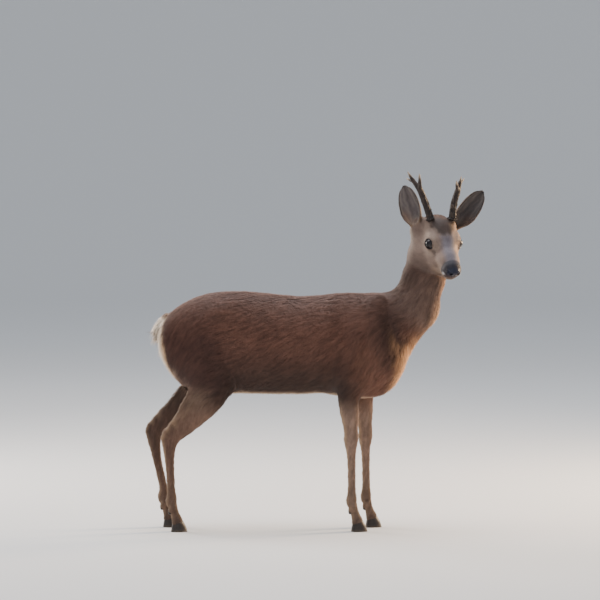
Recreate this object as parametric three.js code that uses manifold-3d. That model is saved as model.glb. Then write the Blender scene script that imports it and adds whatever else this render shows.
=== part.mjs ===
// Roebuck (Capreolus capreolus), adult male in summer coat, standing with its
// head turned to its right. Millimetres, +X towards the breast, +Y to the
// animal's left, +Z up, hooves on Z = 0.
//
// The flesh is one smooth body: a barrel lofted through named stations, limbs
// and neck as tapered chains, and muscle masses as ellipsoids, all blended.
// It is then parted into trunk, neck, head, tail and legs by thin planar cuts.
import * as THREE from 'three';
import { mergeVertices } from 'three/addons/utils/BufferGeometryUtils.js';
import Module from 'manifold-3d';

const wasm = await Module();
wasm.setup();

// ------------------------------------------------------------ driving sizes
const GAP = 0.35;               // clearance between neighbouring pieces
const ORIGIN = [100.24, -20.14, 0]; // middle of the base, in the drawing frame below
const HEAD_HEADING = -72;       // degrees from +X, horizontal direction of the muzzle
const HEAD_PITCH = 32;          // degrees the muzzle axis dips
const EYE_MID = [478, -55, 845];  // point midway between the eyes
const EYE_SET = [5, 40.5, 6];     // eye centre in the head's own axes (forward, left, up)
const EYE_R = 16.5;
const HOOF_LEN = 47, HOOF_WIDE = 17.6, HOOF_TOE_H = 33, HOOF_HEEL_H = 20;
const HOOF_TOP = 0.62;          // length of the coronet as a share of the sole's
const CLEFT = 1.6;              // gap between the two claws of a foot
const EAR_WIDE = 63, EAR_THICK = 4.4;

// ------------------------------------------------------------ body data
// barrel stations: x, top, bottom, half width, how far the widest level sits low
const BARREL = [
  [-345, 618, 516, 46, 0.00],   // root of the tail
  [-300, 650, 450, 70, 0.02],
  [-240, 687, 418, 87, 0.05],   // hips
  [-180, 703, 401, 95, 0.09],
  [-120, 705, 404, 100, 0.14],  // loin
  [-60, 701, 403, 104, 0.16],
  [0, 695, 402, 107, 0.17],     // last rib
  [60, 690, 402, 108, 0.17],
  [116, 693, 405, 106, 0.16],
  [170, 699, 397, 101, 0.14],
  [220, 700, 389, 94, 0.12],    // withers
  [270, 696, 393, 85, 0.08],
  [320, 676, 418, 72, 0.02],
  [350, 660, 446, 60, 0.00],    // root of the neck
];
const BARREL_POWER = 2.3;

// Every mass is either a tapered limb segment
//   S(from, to, radius at from, radius at to, width ratio across, blend)
// or an ellipsoid
//   E(centre, half sizes, pitch, yaw, blend).
const S = (a, b, ra, rb, q = 1, k = 12) => ({ seg: true, a, b, ra, rb, q, k });
const E = (c, rad, pitch = 0, yaw = 0, k = 20) => ({ seg: false, c, rad, pitch, yaw, k });
const mirrored = (p) => p.seg
  ? { ...p, a: [p.a[0], -p.a[1], p.a[2]], b: [p.b[0], -p.b[1], p.b[2]] }
  : { ...p, c: [p.c[0], -p.c[1], p.c[2]], yaw: -p.yaw };
const both = (...list) => list.flatMap((p) => [p, mirrored(p)]);

// a limb as a smooth chain of stations [x, side, z, radius, width ratio]
function chain(stations, side, dx, k = 3) {
  const at = (i) => stations[Math.max(0, Math.min(stations.length - 1, i))];
  const pts = [];
  for (let i = 0; i < stations.length - 1; i++) {
    for (let s = 0; s < 2; s++) {
      const t = s / 2, p0 = at(i - 1), p1 = at(i), p2 = at(i + 1), p3 = at(i + 2);
      pts.push(p1.map((v, j) => 0.5 * (2 * v + (p2[j] - p0[j]) * t + (2 * p0[j] - 5 * v + 4 * p2[j] - p3[j]) * t * t + (3 * v - p0[j] - 3 * p2[j] + p3[j]) * t * t * t)));
    }
  }
  pts.push(at(stations.length - 1));
  return pts.slice(1).map((b, i) => {
    const a = pts[i];
    return S([a[0] + dx, a[1] * side, a[2]], [b[0] + dx, b[1] * side, b[2]], a[3], b[3], (a[4] + b[4]) / 2, k);
  });
}

const leg = (fore, side, cut, toe, track, k, masses, start) => ({ fore, side, cut, toe, track, k, masses, start });

// masses of the trunk
const TRUNK_MASSES = [
  E([286, 0, 516], [74, 68, 108], 0, 0, 34),           // breast
  ...both(
    E([262, 46, 592], [60, 38, 108], -22, 0, 36),      // shoulder blade
    E([308, 42, 514], [54, 38, 60], 0, 0, 44),         // point of the shoulder
    E([226, 58, 500], [60, 33, 84], 0, 0, 38),         // upper arm
    E([-240, 42, 609], [94, 48, 67], 14, 0, 36),        // croup
    E([-240, 58, 520], [82, 42, 104], 0, 0, 44),       // thigh
    E([-288, 38, 548], [52, 42, 76], 14, 0, 30),       // buttock
    E([-190, 62, 462], [58, 34, 66], -30, 0, 40)       // front of the thigh
  ),
];
const TAIL_MASSES = [
  S([-332, 0, 622], [-358, 0, 588], 18, 14, 1.35, 18),
];
const NECK_MASSES = [
  S([318, 0, 600], [395, 0, 660], 99, 70, 0.76, 32),
  S([395, 0, 660], [424, 0, 745], 70, 60.5, 0.76, 24),
  S([425, 0, 745], [434, 2, 808], 61, 56, 0.78, 20),
  S([434, 2, 808], [449, 4, 872], 56, 48, 0.84, 20),
  S([431, -2, 834], [413, -5, 880], 40, 33, 0.9, 16),          // nape behind the ears
];
const NECK_BLEND = 34;
// limbs as stations [x, side, z, radius, width ratio]; fetlock, pastern and coronet last
const FORE = [
  [216, 64, 456, 52, 0.70], [204, 67, 402, 33, 0.78], [206, 65, 352, 27.5, 0.80], [210, 63, 300, 20.6, 0.84],
  [211.5, 62, 272, 20, 0.88], [211, 62, 236, 14.4, 0.88], [212, 61, 200, 12.4, 0.88], [213, 61, 125, 12.0, 0.92],
  [213, 61, 98, 14.6, 0.96], [214, 61, 82, 13.5, 1.0], [222, 61, 54, 12.3, 1.08], [227.5, 61, 38, 14.2, 1.16], [229.5, 61, 31, 14.8, 1.18],
];
const foreleg = (side, dx) => [
  ...chain(FORE, side, dx),
  S([203 + dx, 62 * side, 270], [205 + dx, 62 * side, 252], 12.5, 10, 0.9, 9),      // back of the knee
  S([206 + dx, 61 * side, 92], [207 + dx, 61 * side, 82], 8.5, 8, 1.0, 8),          // sesamoids
];
const HIND = (hx, hz, fx, sx, sz) => [
  [sx - 62, 68, sz + 78, 74, 0.60], [sx - 34, 74, sz + 4, 56, 0.60], [sx - 66, 74, sz - 62, 40.5, 0.64], [hx + 46, 71, hz + 36, 33, 0.66],
  [hx + 12, 70, hz + 2, 26, 0.68], [hx + 2, 69, hz - 24, 21, 0.74], [hx + (fx - hx) * 0.2, 68, hz - 58, 15.5, 0.82],
  [hx + (fx - hx) * 0.42, 67, hz - 98, 12.8, 0.85], [fx - 1, 65, 122, 12.3, 0.9], [fx, 65, 98, 14.8, 0.96], [fx + 1, 65, 82, 13.7, 1.0],
  [fx + 9, 65, 54, 12.5, 1.08], [fx + 14.5, 65, 38, 14.2, 1.16], [fx + 16.5, 65, 31, 14.8, 1.18],
];
const hindleg = (side, hx, hz, fx, sx, sz) => [
  ...chain(HIND(hx, hz, fx, sx, sz), side, 0),
  S([sx - 92, side * 71, sz - 26], [hx + 8, side * 70, hz + 22], 19, 9, 0.66, 12),    // tendon above the hock
  S([hx - 8, side * 69, hz + 10], [hx - 12, side * 69, hz - 6], 10.5, 11.5, 0.85, 10),     // point of the hock
  S([fx - 8, side * 65, 92], [fx - 7, side * 65, 82], 8.5, 8, 1.0, 8),                    // sesamoids
];
const LEGS = [
  leg(1, -1, 214, 234, 61, 22, foreleg(-1, -2), [3, 3, 16]),
  leg(1, 1, 256, 278, 61, 22, foreleg(1, 42), [15, 6, 16]),
  leg(0, -1, -200, -295, 65, 26, hindleg(-1, -326, 282, -318, -160, 432), [12, 9, 16]),
  leg(0, 1, -230, -323, 65, 26, hindleg(1, -376, 292, -346, -190, 436), [6, 0, 16]),
];
// the head in its own axes: forward along the muzzle, left, up; zero midway between the eyes
const HEAD_MASSES = [
  S([-66, 0, 10], [-26, 0, 12], 43, 41, 1.02, 12),           // braincase
  S([-36, 0, 20], [6, 0, 8], 33, 31, 1.36, 20),              // forehead
  S([0, 0, -8], [62, 0, -16], 40, 30, 0.94, 22),             // face
  S([62, 0, -16], [100, 0, -23], 30, 26.0, 1.04, 12),        // muzzle
  S([104, 0, -14], [117, 0, -19], 18.0, 15.5, 1.35, 7),      // nose
  S([-48, 0, -44], [34, 0, -55], 36, 27, 1.0, 18),           // jaw
  S([34, 0, -55], [98, 0, -44], 27, 14, 1.05, 14),           // chin
  ...both(
    E([-1, 38, 12], [26, 14, 19], 0, -6, 14),                // rim of the eye
    E([-8, 32, -38], [55, 19, 43], -8, -8, 20),              // cheek
    E([-48, 30, 38], [19, 14, 20], 0, 0, 14),                // pedicle
    S([-70, 30, 12], [-84, 46, 20], 20, 17, 1.0, 16),        // root of the ear
    E([96, 16, -30], [20, 12, 13], 0, 0, 8)                  // upper lip
  ),
];
const HEAD_BLEND = 22;

// ------------------------------------------------------------ the flesh as one smooth field
const blend = (a, b, k) => {
  const h = Math.max(0, Math.min(1, 0.5 + 0.5 * (b - a) / k));
  return b * (1 - h) + a * h - k * h * (1 - h);
};
const cap = (a, b, k) => -blend(-a, -b, k);

function monotone(xs, ys) {       // monotone cubic through stations
  const n = xs.length, h = [], d = [], m = new Array(n).fill(0);
  for (let i = 0; i < n - 1; i++) { h.push(xs[i + 1] - xs[i]); d.push((ys[i + 1] - ys[i]) / h[i]); }
  for (let i = 1; i < n - 1; i++) if (d[i - 1] * d[i] > 0) {
    const w1 = 2 * h[i] + h[i - 1], w2 = h[i] + 2 * h[i - 1];
    m[i] = (w1 + w2) / (w1 / d[i - 1] + w2 / d[i]);
  }
  m[0] = d[0]; m[n - 1] = d[n - 2];
  return (x) => {
    x = Math.max(xs[0], Math.min(xs[n - 1], x));
    let i = 0;
    while (i < n - 2 && x > xs[i + 1]) i++;
    const t = (x - xs[i]) / h[i];
    return (1 + 2 * t) * (1 - t) ** 2 * ys[i] + t * (1 - t) ** 2 * h[i] * m[i] + t * t * (3 - 2 * t) * ys[i + 1] + t * t * (t - 1) * h[i] * m[i + 1];
  };
}
const station = (j) => monotone(BARREL.map((s) => s[0]), BARREL.map((s) => s[j]));
const [barrelTop, barrelBottom, barrelWide, barrelLow] = [1, 2, 3, 4].map(station);

function barrel(x, y, z) {
  const top = barrelTop(x), bottom = barrelBottom(x), c = (top + bottom) / 2, h = (top - bottom) / 2;
  const t = (z - c) / h;
  const w = barrelWide(x) * (1 - barrelLow(x) * Math.max(-1.3, Math.min(1.3, t)));
  const a = Math.abs(y) / w, b = Math.abs(t), n = BARREL_POWER;
  const r = (a ** n + b ** n + 1e-9) ** (1 / n);
  const g = Math.hypot(a ** (n - 1) / w, b ** (n - 1) / h) / r ** (n - 1) + 1e-6;
  return cap(cap((r - 1) / g, x - 352, 60), -352 - x, 60);
}

function prepare(list) {
  return list.map((p) => {
    if (p.seg) {
      const ab = [p.b[0] - p.a[0], p.b[1] - p.a[1], p.b[2] - p.a[2]];
      return { ...p, ab, ll: ab[0] ** 2 + ab[1] ** 2 + ab[2] ** 2, w: 1 / p.q ** 2 - 1 };
    }
    const t = p.pitch * Math.PI / 180, a = p.yaw * Math.PI / 180;
    const X = [Math.cos(t) * Math.cos(a), Math.cos(t) * Math.sin(a), Math.sin(t)];
    const Y = [-Math.sin(a), Math.cos(a), 0];
    const Z = [X[1] * Y[2] - X[2] * Y[1], X[2] * Y[0] - X[0] * Y[2], X[0] * Y[1] - X[1] * Y[0]];
    return { ...p, m: [X, Y, Z] };
  });
}
function distance(p, x, y, z) {
  if (p.seg) {
    const dx = x - p.a[0], dy = y - p.a[1], dz = z - p.a[2];
    const t = Math.max(0, Math.min(1, (dx * p.ab[0] + dy * p.ab[1] + dz * p.ab[2]) / p.ll));
    const vx = dx - t * p.ab[0], vy = dy - t * p.ab[1], vz = dz - t * p.ab[2];
    const r = p.ra + (p.rb - p.ra) * t;
    const gy = vy * (1 + p.w);
    const s2 = Math.max(vx * vx + vy * gy + vz * vz, 1e-9), s = Math.sqrt(s2);
    return (s - r) * s / Math.sqrt(vx * vx + gy * gy + vz * vz + 1e-9);
  }
  const d = [x - p.c[0], y - p.c[1], z - p.c[2]];
  let k0 = 0, k1 = 0;
  for (let i = 0; i < 3; i++) {
    const v = (d[0] * p.m[i][0] + d[1] * p.m[i][1] + d[2] * p.m[i][2]) / p.rad[i];
    k0 += v * v; k1 += (v / p.rad[i]) ** 2;
  }
  k0 = Math.sqrt(k0) + 1e-9; k1 = Math.sqrt(k1) + 1e-9;
  return k0 * (k0 - 1) / k1;
}
function gather(list, x, y, z, f) {
  for (const p of list) {
    const d = distance(p, x, y, z);
    f = f === undefined ? d : blend(f, d, p.k);
  }
  return f;
}

const deg = Math.PI / 180;
const hx = Math.cos(HEAD_HEADING * deg), hy = Math.sin(HEAD_HEADING * deg);
const cp = Math.cos(HEAD_PITCH * deg), sp = Math.sin(HEAD_PITCH * deg);
const AHEAD = [hx * cp, hy * cp, -sp], LEFT = [-hy, hx, 0], UP = [hx * sp, hy * sp, cp];
const headToBody = (p) => [0, 1, 2].map((i) => EYE_MID[i] + p[0] * AHEAD[i] + p[1] * LEFT[i] + p[2] * UP[i]);

const TRUNK_SET = prepare([...TRUNK_MASSES, ...TAIL_MASSES]);
const NECK_SET = prepare(NECK_MASSES);
const LEG_SETS = LEGS.map((l) => ({ ...l, set: prepare(l.masses) }));
const HEAD_SET = prepare(HEAD_MASSES);

function flesh(x, y, z) {
  let f = blend(gather(TRUNK_SET, x, y, z, barrel(x, y, z)), gather(NECK_SET, x, y, z), NECK_BLEND);
  for (const l of LEG_SETS) f = blend(f, gather(l.set, x, y, z), l.k);
  const d = [x - EYE_MID[0], y - EYE_MID[1], z - EYE_MID[2]];
  const dot = (v) => d[0] * v[0] + d[1] * v[1] + d[2] * v[2];
  return blend(f, gather(HEAD_SET, dot(AHEAD), dot(LEFT), dot(UP)), HEAD_BLEND);
}

// ------------------------------------------------------------ surface of the field inside a box
function surface(lo, hi, cell, level = 0) {
  const n = [0, 1, 2].map((i) => Math.ceil((hi[i] - lo[i]) / cell[i]) + 1);
  const id = (i, j, k) => (i * n[1] + j) * n[2] + k;
  const F = new Float64Array(n[0] * n[1] * n[2]);
  for (let i = 0; i < n[0]; i++) for (let j = 0; j < n[1]; j++) for (let k = 0; k < n[2]; k++) {
    const edge = i === 0 || j === 0 || k === 0 || i === n[0] - 1 || j === n[1] - 1 || k === n[2] - 1;
    const v = flesh(lo[0] + i * cell[0], lo[1] + j * cell[1], lo[2] + k * cell[2]) - level;
    F[id(i, j, k)] = edge ? Math.max(v, 1) : (Math.abs(v) < 1e-6 ? 1e-6 : v);
  }
  const at = new Map(), pos = [], tri = [];
  const corner = [[0, 0, 0], [1, 0, 0], [0, 1, 0], [1, 1, 0], [0, 0, 1], [1, 0, 1], [0, 1, 1], [1, 1, 1]];
  const edges = [[0, 1], [2, 3], [4, 5], [6, 7], [0, 2], [1, 3], [4, 6], [5, 7], [0, 4], [1, 5], [2, 6], [3, 7]];
  for (let i = 0; i < n[0] - 1; i++) for (let j = 0; j < n[1] - 1; j++) for (let k = 0; k < n[2] - 1; k++) {
    const v = corner.map((c) => F[id(i + c[0], j + c[1], k + c[2])]);
    let s = [0, 0, 0], m = 0;
    for (const [a, b] of edges) if ((v[a] < 0) !== (v[b] < 0)) {
      const t = v[a] / (v[a] - v[b]);
      for (let c = 0; c < 3; c++) s[c] += corner[a][c] + t * (corner[b][c] - corner[a][c]);
      m++;
    }
    if (!m) continue;
    let p = s.map((c, q) => lo[q] + ([i, j, k][q] + c / m) * cell[q]);
    const inner = i > 0 && j > 0 && k > 0 && i < n[0] - 2 && j < n[1] - 2 && k < n[2] - 2;
    if (inner) for (let it = 0; it < 3; it++) {
      const e = 0.4, f = flesh(...p) - level;
      const g = [0, 1, 2].map((c) => {
        const a = p.slice(), b = p.slice(); a[c] += e; b[c] -= e;
        return (flesh(...a) - flesh(...b)) / (2 * e);
      });
      const gg = Math.max(g[0] ** 2 + g[1] ** 2 + g[2] ** 2, 0.05);
      p = p.map((c, q) => c - Math.max(-0.35, Math.min(0.35, f * g[q] / gg / cell[q])) * cell[q]);
    }
    at.set(id(i, j, k), pos.length / 3);
    pos.push(...p);
  }
  const quad = (a, b, c, d, flip) => {
    const P = (v) => [pos[3 * v], pos[3 * v + 1], pos[3 * v + 2]];
    const far = (u, v) => Math.hypot(...P(u).map((w, q) => w - P(v)[q]));
    if (flip) [b, d] = [d, b];
    if (far(a, c) < far(b, d)) tri.push(a, b, c, a, c, d); else tri.push(a, b, d, b, c, d);
  };
  for (let i = 0; i < n[0] - 1; i++) for (let j = 0; j < n[1] - 1; j++) for (let k = 0; k < n[2] - 1; k++) {
    const s = F[id(i, j, k)] < 0;
    const C = (a, b, c) => at.get(id(i - a, j - b, k - c));
    if (j && k && s !== F[id(i + 1, j, k)] < 0) quad(C(0, 1, 1), C(0, 0, 1), C(0, 0, 0), C(0, 1, 0), !s);
    if (i && k && s !== F[id(i, j + 1, k)] < 0) quad(C(1, 0, 1), C(0, 0, 1), C(0, 0, 0), C(1, 0, 0), s);
    if (i && j && s !== F[id(i, j, k + 1)] < 0) quad(C(1, 1, 0), C(0, 1, 0), C(0, 0, 0), C(1, 0, 0), !s);
  }
  return shell(pos, tri);
}

// ------------------------------------------------------------ solids
function shell(pos, tri) {
  const g = new THREE.BufferGeometry();
  g.setAttribute('position', new THREE.Float32BufferAttribute(pos, 3));
  g.setIndex(tri);
  return g;
}
function solid(geometry) {
  const g = geometry.clone();
  for (const a of Object.keys(g.attributes)) if (a !== 'position') g.deleteAttribute(a);
  const m = mergeVertices(g, 1e-4);
  const s = new wasm.Manifold(new wasm.Mesh({
    numProp: 3,
    vertProperties: Float32Array.from(m.attributes.position.array),
    triVerts: Uint32Array.from(m.index.array),
  }));
  return s.volume() < 0 ? solid(flipped(m)) : s;
}
function flipped(g) {
  const i = Array.from(g.index.array);
  for (let t = 0; t < i.length; t += 3) [i[t], i[t + 1]] = [i[t + 1], i[t]];
  g.setIndex(i);
  return g;
}
function geometryOf(manifold, shortest = 0.02) {
  const m = manifold.getMesh(), n = m.vertProperties.length / m.numProp;
  const P = Array.from({ length: n }, (_, v) => [0, 1, 2].map((c) => m.vertProperties[v * m.numProp + c]));
  // corners closer together than the shortest edge allowed become one
  const same = P.map((_, i) => i);
  const find = (i) => { while (same[i] !== i) i = same[i]; return i; };
  const T = m.triVerts;
  for (let t = 0; t < T.length; t += 3) for (let e = 0; e < 3; e++) {
    const a = find(T[t + e]), b = find(T[t + (e + 1) % 3]);
    if (a !== b && Math.hypot(...P[a].map((v, c) => v - P[b][c])) < shortest) same[Math.max(a, b)] = Math.min(a, b);
  }
  const index = new Map(), pos = [], tri = [];
  const put = (i) => {
    if (!index.has(i)) { index.set(i, pos.length / 3); pos.push(...P[i]); }
    return index.get(i);
  };
  for (let t = 0; t < T.length; t += 3) {
    const [a, b, c] = [find(T[t]), find(T[t + 1]), find(T[t + 2])];
    if (a !== b && b !== c && c !== a) tri.push(put(a), put(b), put(c));
  }
  return shell(pos, tri);
}
// a box given by its lowest and highest corners, tipped about the Y direction through a point
function block(lo, hi, tip = 0, about = [0, 0, 0]) {
  const g = new THREE.BoxGeometry(hi[0] - lo[0], hi[1] - lo[1], hi[2] - lo[2]);
  g.translate((lo[0] + hi[0]) / 2, (lo[1] + hi[1]) / 2, (lo[2] + hi[2]) / 2);
  g.rotateY(-tip * deg);
  g.translate(about[0], about[1], about[2]);
  return solid(g);
}
// a box in the head's own axes
function headBlock(lo, hi, tip = 0, about = [0, 0, 0]) {
  const g = new THREE.BoxGeometry(hi[0] - lo[0], hi[1] - lo[1], hi[2] - lo[2]);
  g.translate((lo[0] + hi[0]) / 2, (lo[1] + hi[1]) / 2, (lo[2] + hi[2]) / 2);
  g.rotateY(-tip * deg);
  g.translate(about[0], about[1], about[2]);
  g.applyMatrix4(new THREE.Matrix4().set(
    AHEAD[0], LEFT[0], UP[0], EYE_MID[0],
    AHEAD[1], LEFT[1], UP[1], EYE_MID[1],
    AHEAD[2], LEFT[2], UP[2], EYE_MID[2],
    0, 0, 0, 1));
  return solid(g);
}
// the largest of the separate bodies of a cut
function largest(m) {
  const parts = m.decompose();
  return parts.reduce((a, b) => (a.volume() >= b.volume() ? a : b));
}

// a tapered tube through stations [x, y, z, radius], with rounded ends
function tube(stations, sides, grow = 0, step = 12) {
  const curve = new THREE.CatmullRomCurve3(stations.map((s) => new THREE.Vector3(s[0], s[1], s[2])), false, 'centripetal');
  const count = Math.max(3, Math.round(curve.getLength() / step));
  const radius = (t) => {
    const u = t * (stations.length - 1), i = Math.min(stations.length - 2, Math.floor(u)), f = u - i;
    return stations[i][3] * (1 - f) + stations[i + 1][3] * f + grow;
  };
  const pos = [], tri = [];
  let side = new THREE.Vector3(0, 1, 0.01);
  const ring = (c, dir, r) => {
    side.addScaledVector(dir, -side.dot(dir)).normalize();
    const up = new THREE.Vector3().crossVectors(dir, side);
    for (let i = 0; i < sides; i++) {
      const a = 2 * Math.PI * i / sides;
      const p = c.clone().addScaledVector(side, r * Math.cos(a)).addScaledVector(up, r * Math.sin(a));
      pos.push(p.x, p.y, p.z);
    }
  };
  const d0 = curve.getTangent(0), d1 = curve.getTangent(1);
  const first = curve.getPoint(0).addScaledVector(d0, -grow), last = curve.getPoint(1).addScaledVector(d1, radius(1) * 0.8);
  pos.push(first.x, first.y, first.z);
  let rings = 0;
  for (let i = 0; i <= count; i++) {
    const t = i / count;
    ring(i === 0 ? first : curve.getPoint(t), curve.getTangent(t), radius(t)); rings++;
  }
  pos.push(last.x, last.y, last.z);
  const end = pos.length / 3 - 1, at = (r, s) => 1 + r * sides + (s % sides);
  for (let s = 0; s < sides; s++) {
    tri.push(0, at(0, s + 1), at(0, s));
    for (let r = 0; r < rings - 1; r++) tri.push(at(r, s), at(r, s + 1), at(r + 1, s + 1), at(r, s), at(r + 1, s + 1), at(r + 1, s));
    tri.push(at(rings - 1, s), at(rings - 1, s + 1), end);
  }
  return solid(shell(pos, tri));
}

// an ear: a leaf rolled into a tube at its root and opening towards the tip
const EAR_T = [0, 0.1, 0.25, 0.42, 0.6, 0.78, 0.9, 1.0];
const EAR_W = monotone(EAR_T, [0.33, 0.55, 0.85, 1.0, 0.97, 0.80, 0.57, 0.15]);
const EAR_A = monotone(EAR_T, [128, 118, 98, 80, 66, 54, 46, 40]);
function ear(root, tip, open, grow = 0, rows = 8, cols = 5) {
  const A = new THREE.Vector3(...tip).sub(new THREE.Vector3(...root));
  const len = A.length(); A.normalize();
  const O = new THREE.Vector3(...open); O.addScaledVector(A, -O.dot(A)).normalize();
  const W = new THREE.Vector3().crossVectors(A, O);
  const pos = [], tri = [];
  for (let face = 0; face < 2; face++) for (let i = 0; i <= rows; i++) for (let j = 0; j <= cols; j++) {
    const t = 1 - (1 - i / rows) ** 1.35, v = 2 * j / cols - 1;
    const w = EAR_WIDE / 2 * EAR_W(t), half = EAR_A(t) * deg;
    const R = w / Math.sin(Math.min(half, Math.PI / 2));
    const along = len * t + (i === 0 ? -grow : i === rows ? grow : 0);
    const a = v * (half + grow / R);
    const C = new THREE.Vector3(...root).addScaledVector(A, along).addScaledVector(O, R - 10 + 9 * (t - 0.5) ** 2 * 4 * 0.4);
    const n = W.clone().multiplyScalar(Math.sin(a)).addScaledVector(O, -Math.cos(a));
    const thick = EAR_THICK * (1 - 0.55 * v ** 4) * (1 - 0.55 * t ** 3) / 2 + grow;
    const p = C.addScaledVector(n, R + (face ? -thick : thick));
    pos.push(p.x, p.y, p.z);
  }
  const at = (f, i, j) => (f * (rows + 1) + i) * (cols + 1) + j;
  const quad = (a, b, c, d) => tri.push(a, b, c, a, c, d);
  for (let i = 0; i < rows; i++) for (let j = 0; j < cols; j++) {
    quad(at(0, i, j), at(0, i, j + 1), at(0, i + 1, j + 1), at(0, i + 1, j));
    quad(at(1, i, j), at(1, i + 1, j), at(1, i + 1, j + 1), at(1, i, j + 1));
  }
  for (let i = 0; i < rows; i++) {
    quad(at(0, i, 0), at(0, i + 1, 0), at(1, i + 1, 0), at(1, i, 0));
    quad(at(0, i, cols), at(1, i, cols), at(1, i + 1, cols), at(0, i + 1, cols));
  }
  for (let j = 0; j < cols; j++) {
    quad(at(0, 0, j), at(1, 0, j), at(1, 0, j + 1), at(0, 0, j + 1));
    quad(at(0, rows, j), at(0, rows, j + 1), at(1, rows, j + 1), at(1, rows, j));
  }
  return solid(shell(pos, tri));
}

// one claw of a foot: heel at x = 0, its straight inner wall along y = 0
function claw(x0, y0, outward) {
  const outline = [[0.0, 0.2], [0.02, 0.7], [0.2, 1.0], [0.58, 0.94], [0.86, 0.56], [1.0, 0.14], [0.94, 0.0], [0.4, 0.02]];
  const levels = [[0, 1.0, 0], [0.45, 0.86, 0.5], [1, HOOF_TOP, 1.0]];   // height share, length share, inset share
  const pos = [], tri = [], n = outline.length;
  const put = (x, y, z) => pos.push(x0 + x, y0 + outward * y, z);
  levels.forEach(([h, l, s]) => outline.forEach(([u, v]) => {
    const x = 3 * s + HOOF_LEN * l * u, y = HOOF_WIDE * (v * (1 - 0.07 * s) + 0.01);
    const top = HOOF_HEEL_H + (HOOF_TOE_H - HOOF_HEEL_H) * x / (HOOF_LEN * HOOF_TOP);
    put(x, y, h * top);
  }));
  const mid = (r) => {
    let c = [0, 0, 0];
    for (let i = 0; i < n; i++) for (let q = 0; q < 3; q++) c[q] += pos[3 * (r * n + i) + q] / n;
    pos.push(...c);
    return pos.length / 3 - 1;
  };
  for (let r = 0; r < levels.length - 1; r++) for (let i = 0; i < n; i++) {
    const a = r * n + i, b = r * n + (i + 1) % n;
    tri.push(a, b, b + n, a, b + n, a + n);
  }
  const bottom = mid(0), top = mid(levels.length - 1);
  for (let i = 0; i < n; i++) {
    tri.push(bottom, (i + 1) % n, i);
    tri.push(top, (levels.length - 1) * n + i, (levels.length - 1) * n + (i + 1) % n);
  }
  return solid(shell(pos, tri));
}
function spheroid(c, r, across = 8, down = 6) {
  const g = new THREE.SphereGeometry(1, across, down);
  g.rotateX(Math.PI / 2);
  g.scale(r[0], r[1], r[2]);
  g.translate(c[0], c[1], c[2]);
  return solid(g);
}

// ------------------------------------------------------------ materials
const paint = (color, roughness, metalness = 0) => new THREE.MeshStandardMaterial({ color, roughness, metalness });
const COAT = 0x8a5236, FACE = 0x857468, LIMB = 0x8f6c4c, PALE = 0xd8c3a0, EAR = 0x5c4c44, HORN = 0x4b3a2e, CLAW = 0x1c1917, EYE = 0x0c0b10;

// ------------------------------------------------------------ the pieces
const model = new THREE.Group();
const piece = (name, manifold, color, rough, smallest = true) => {
  const mesh = new THREE.Mesh(geometryOf(smallest ? largest(manifold) : manifold), paint(color, rough));
  mesh.name = name;
  mesh.position.set(-ORIGIN[0], -ORIGIN[1], -ORIGIN[2]);
  model.add(mesh);
  return mesh;
};

// cutting blocks
const legBlock = (l, g) => l.fore
  ? block([l.cut - 72 - g, l.side > 0 ? 32 - g : -190, -40], [l.cut + 72 + g, l.side > 0 ? 190 : -32 + g, 452 + g])
  : block([-400, l.side > 0 ? 20 - g : -190, -500], [240 + g, l.side > 0 ? 190 : -20 + g, g], -24, [-340, 0, 566])
    .add(block([-450, l.side > 0 ? 20 - g : -190, -40], [-150, l.side > 0 ? 190 : -20 + g, 360]));
const tailBlock = (g) => block([-440, -21 - g, 580 - g], [-350 + g, 21 + g, 642 + g]);
const neckBlock = (g) => block([-400, -300, -g], [500, 300, 500], -37, [370, 0, 655]);
const headRegion = (g) => headBlock([-300, -300, -g], [500, 300, 400], 8, [20, 0, -80]);

// antlers: stations [x, y, z, radius] of each beam and tine
const ANTLERS = {
  right: {
    beam: [[444, -50, 906, 9.5], [443, -51, 913, 9.7], [441, -52, 920, 10.2], [431, -57, 950, 9.6], [421, -61, 978, 9.3], [409, -63, 1005, 9.0], [396, -60, 1022, 6.6], [389, -57, 1032, 5.2]],
    front: [[411, -64, 1001, 6.0], [409, -73, 1018, 5.6], [408, -84, 1036, 3.9], [407, -91, 1051, 1.6]],
    top: [[389, -57, 1031, 5.2], [382, -58, 1042, 4.2], [374, -60, 1056, 1.6]],
    rear: [[390, -54, 1029, 4.4], [381, -42, 1032, 3.6], [372, -30, 1036, 1.5]],
    burr: [441.5, -51.5, 919],
  },
  left: {
    beam: [[503, -30, 906, 9.5], [504, -31, 913, 9.7], [505, -32, 920, 10.2], [508, -37, 950, 9.8], [514, -41, 978, 9.2], [521, -42, 1001, 8.4], [525, -41, 1014, 6.2], [527, -40, 1024, 4.8]],
    front: [[521, -44, 998, 5.4], [519, -53, 1010, 5.0], [517, -66, 1020, 3.6], [516, -77, 1030, 1.5]],
    top: [[527, -40, 1023, 4.8], [529, -43, 1031, 3.6], [531, -46, 1042, 1.5]],
    rear: [[527, -37, 1021, 4.2], [533, -25, 1027, 3.4], [540, -14, 1036, 1.4]],
    burr: [504.8, -31.5, 919],
  },
};
const EARS = {
  right: { root: [404, -12, 893], tip: [364, 4, 1013], open: [-0.22, -0.95, -0.12] },
  left: { root: [511, 12, 893], tip: [598, 22, 996], open: [0.34, -0.9, 0.1] },
};

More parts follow.
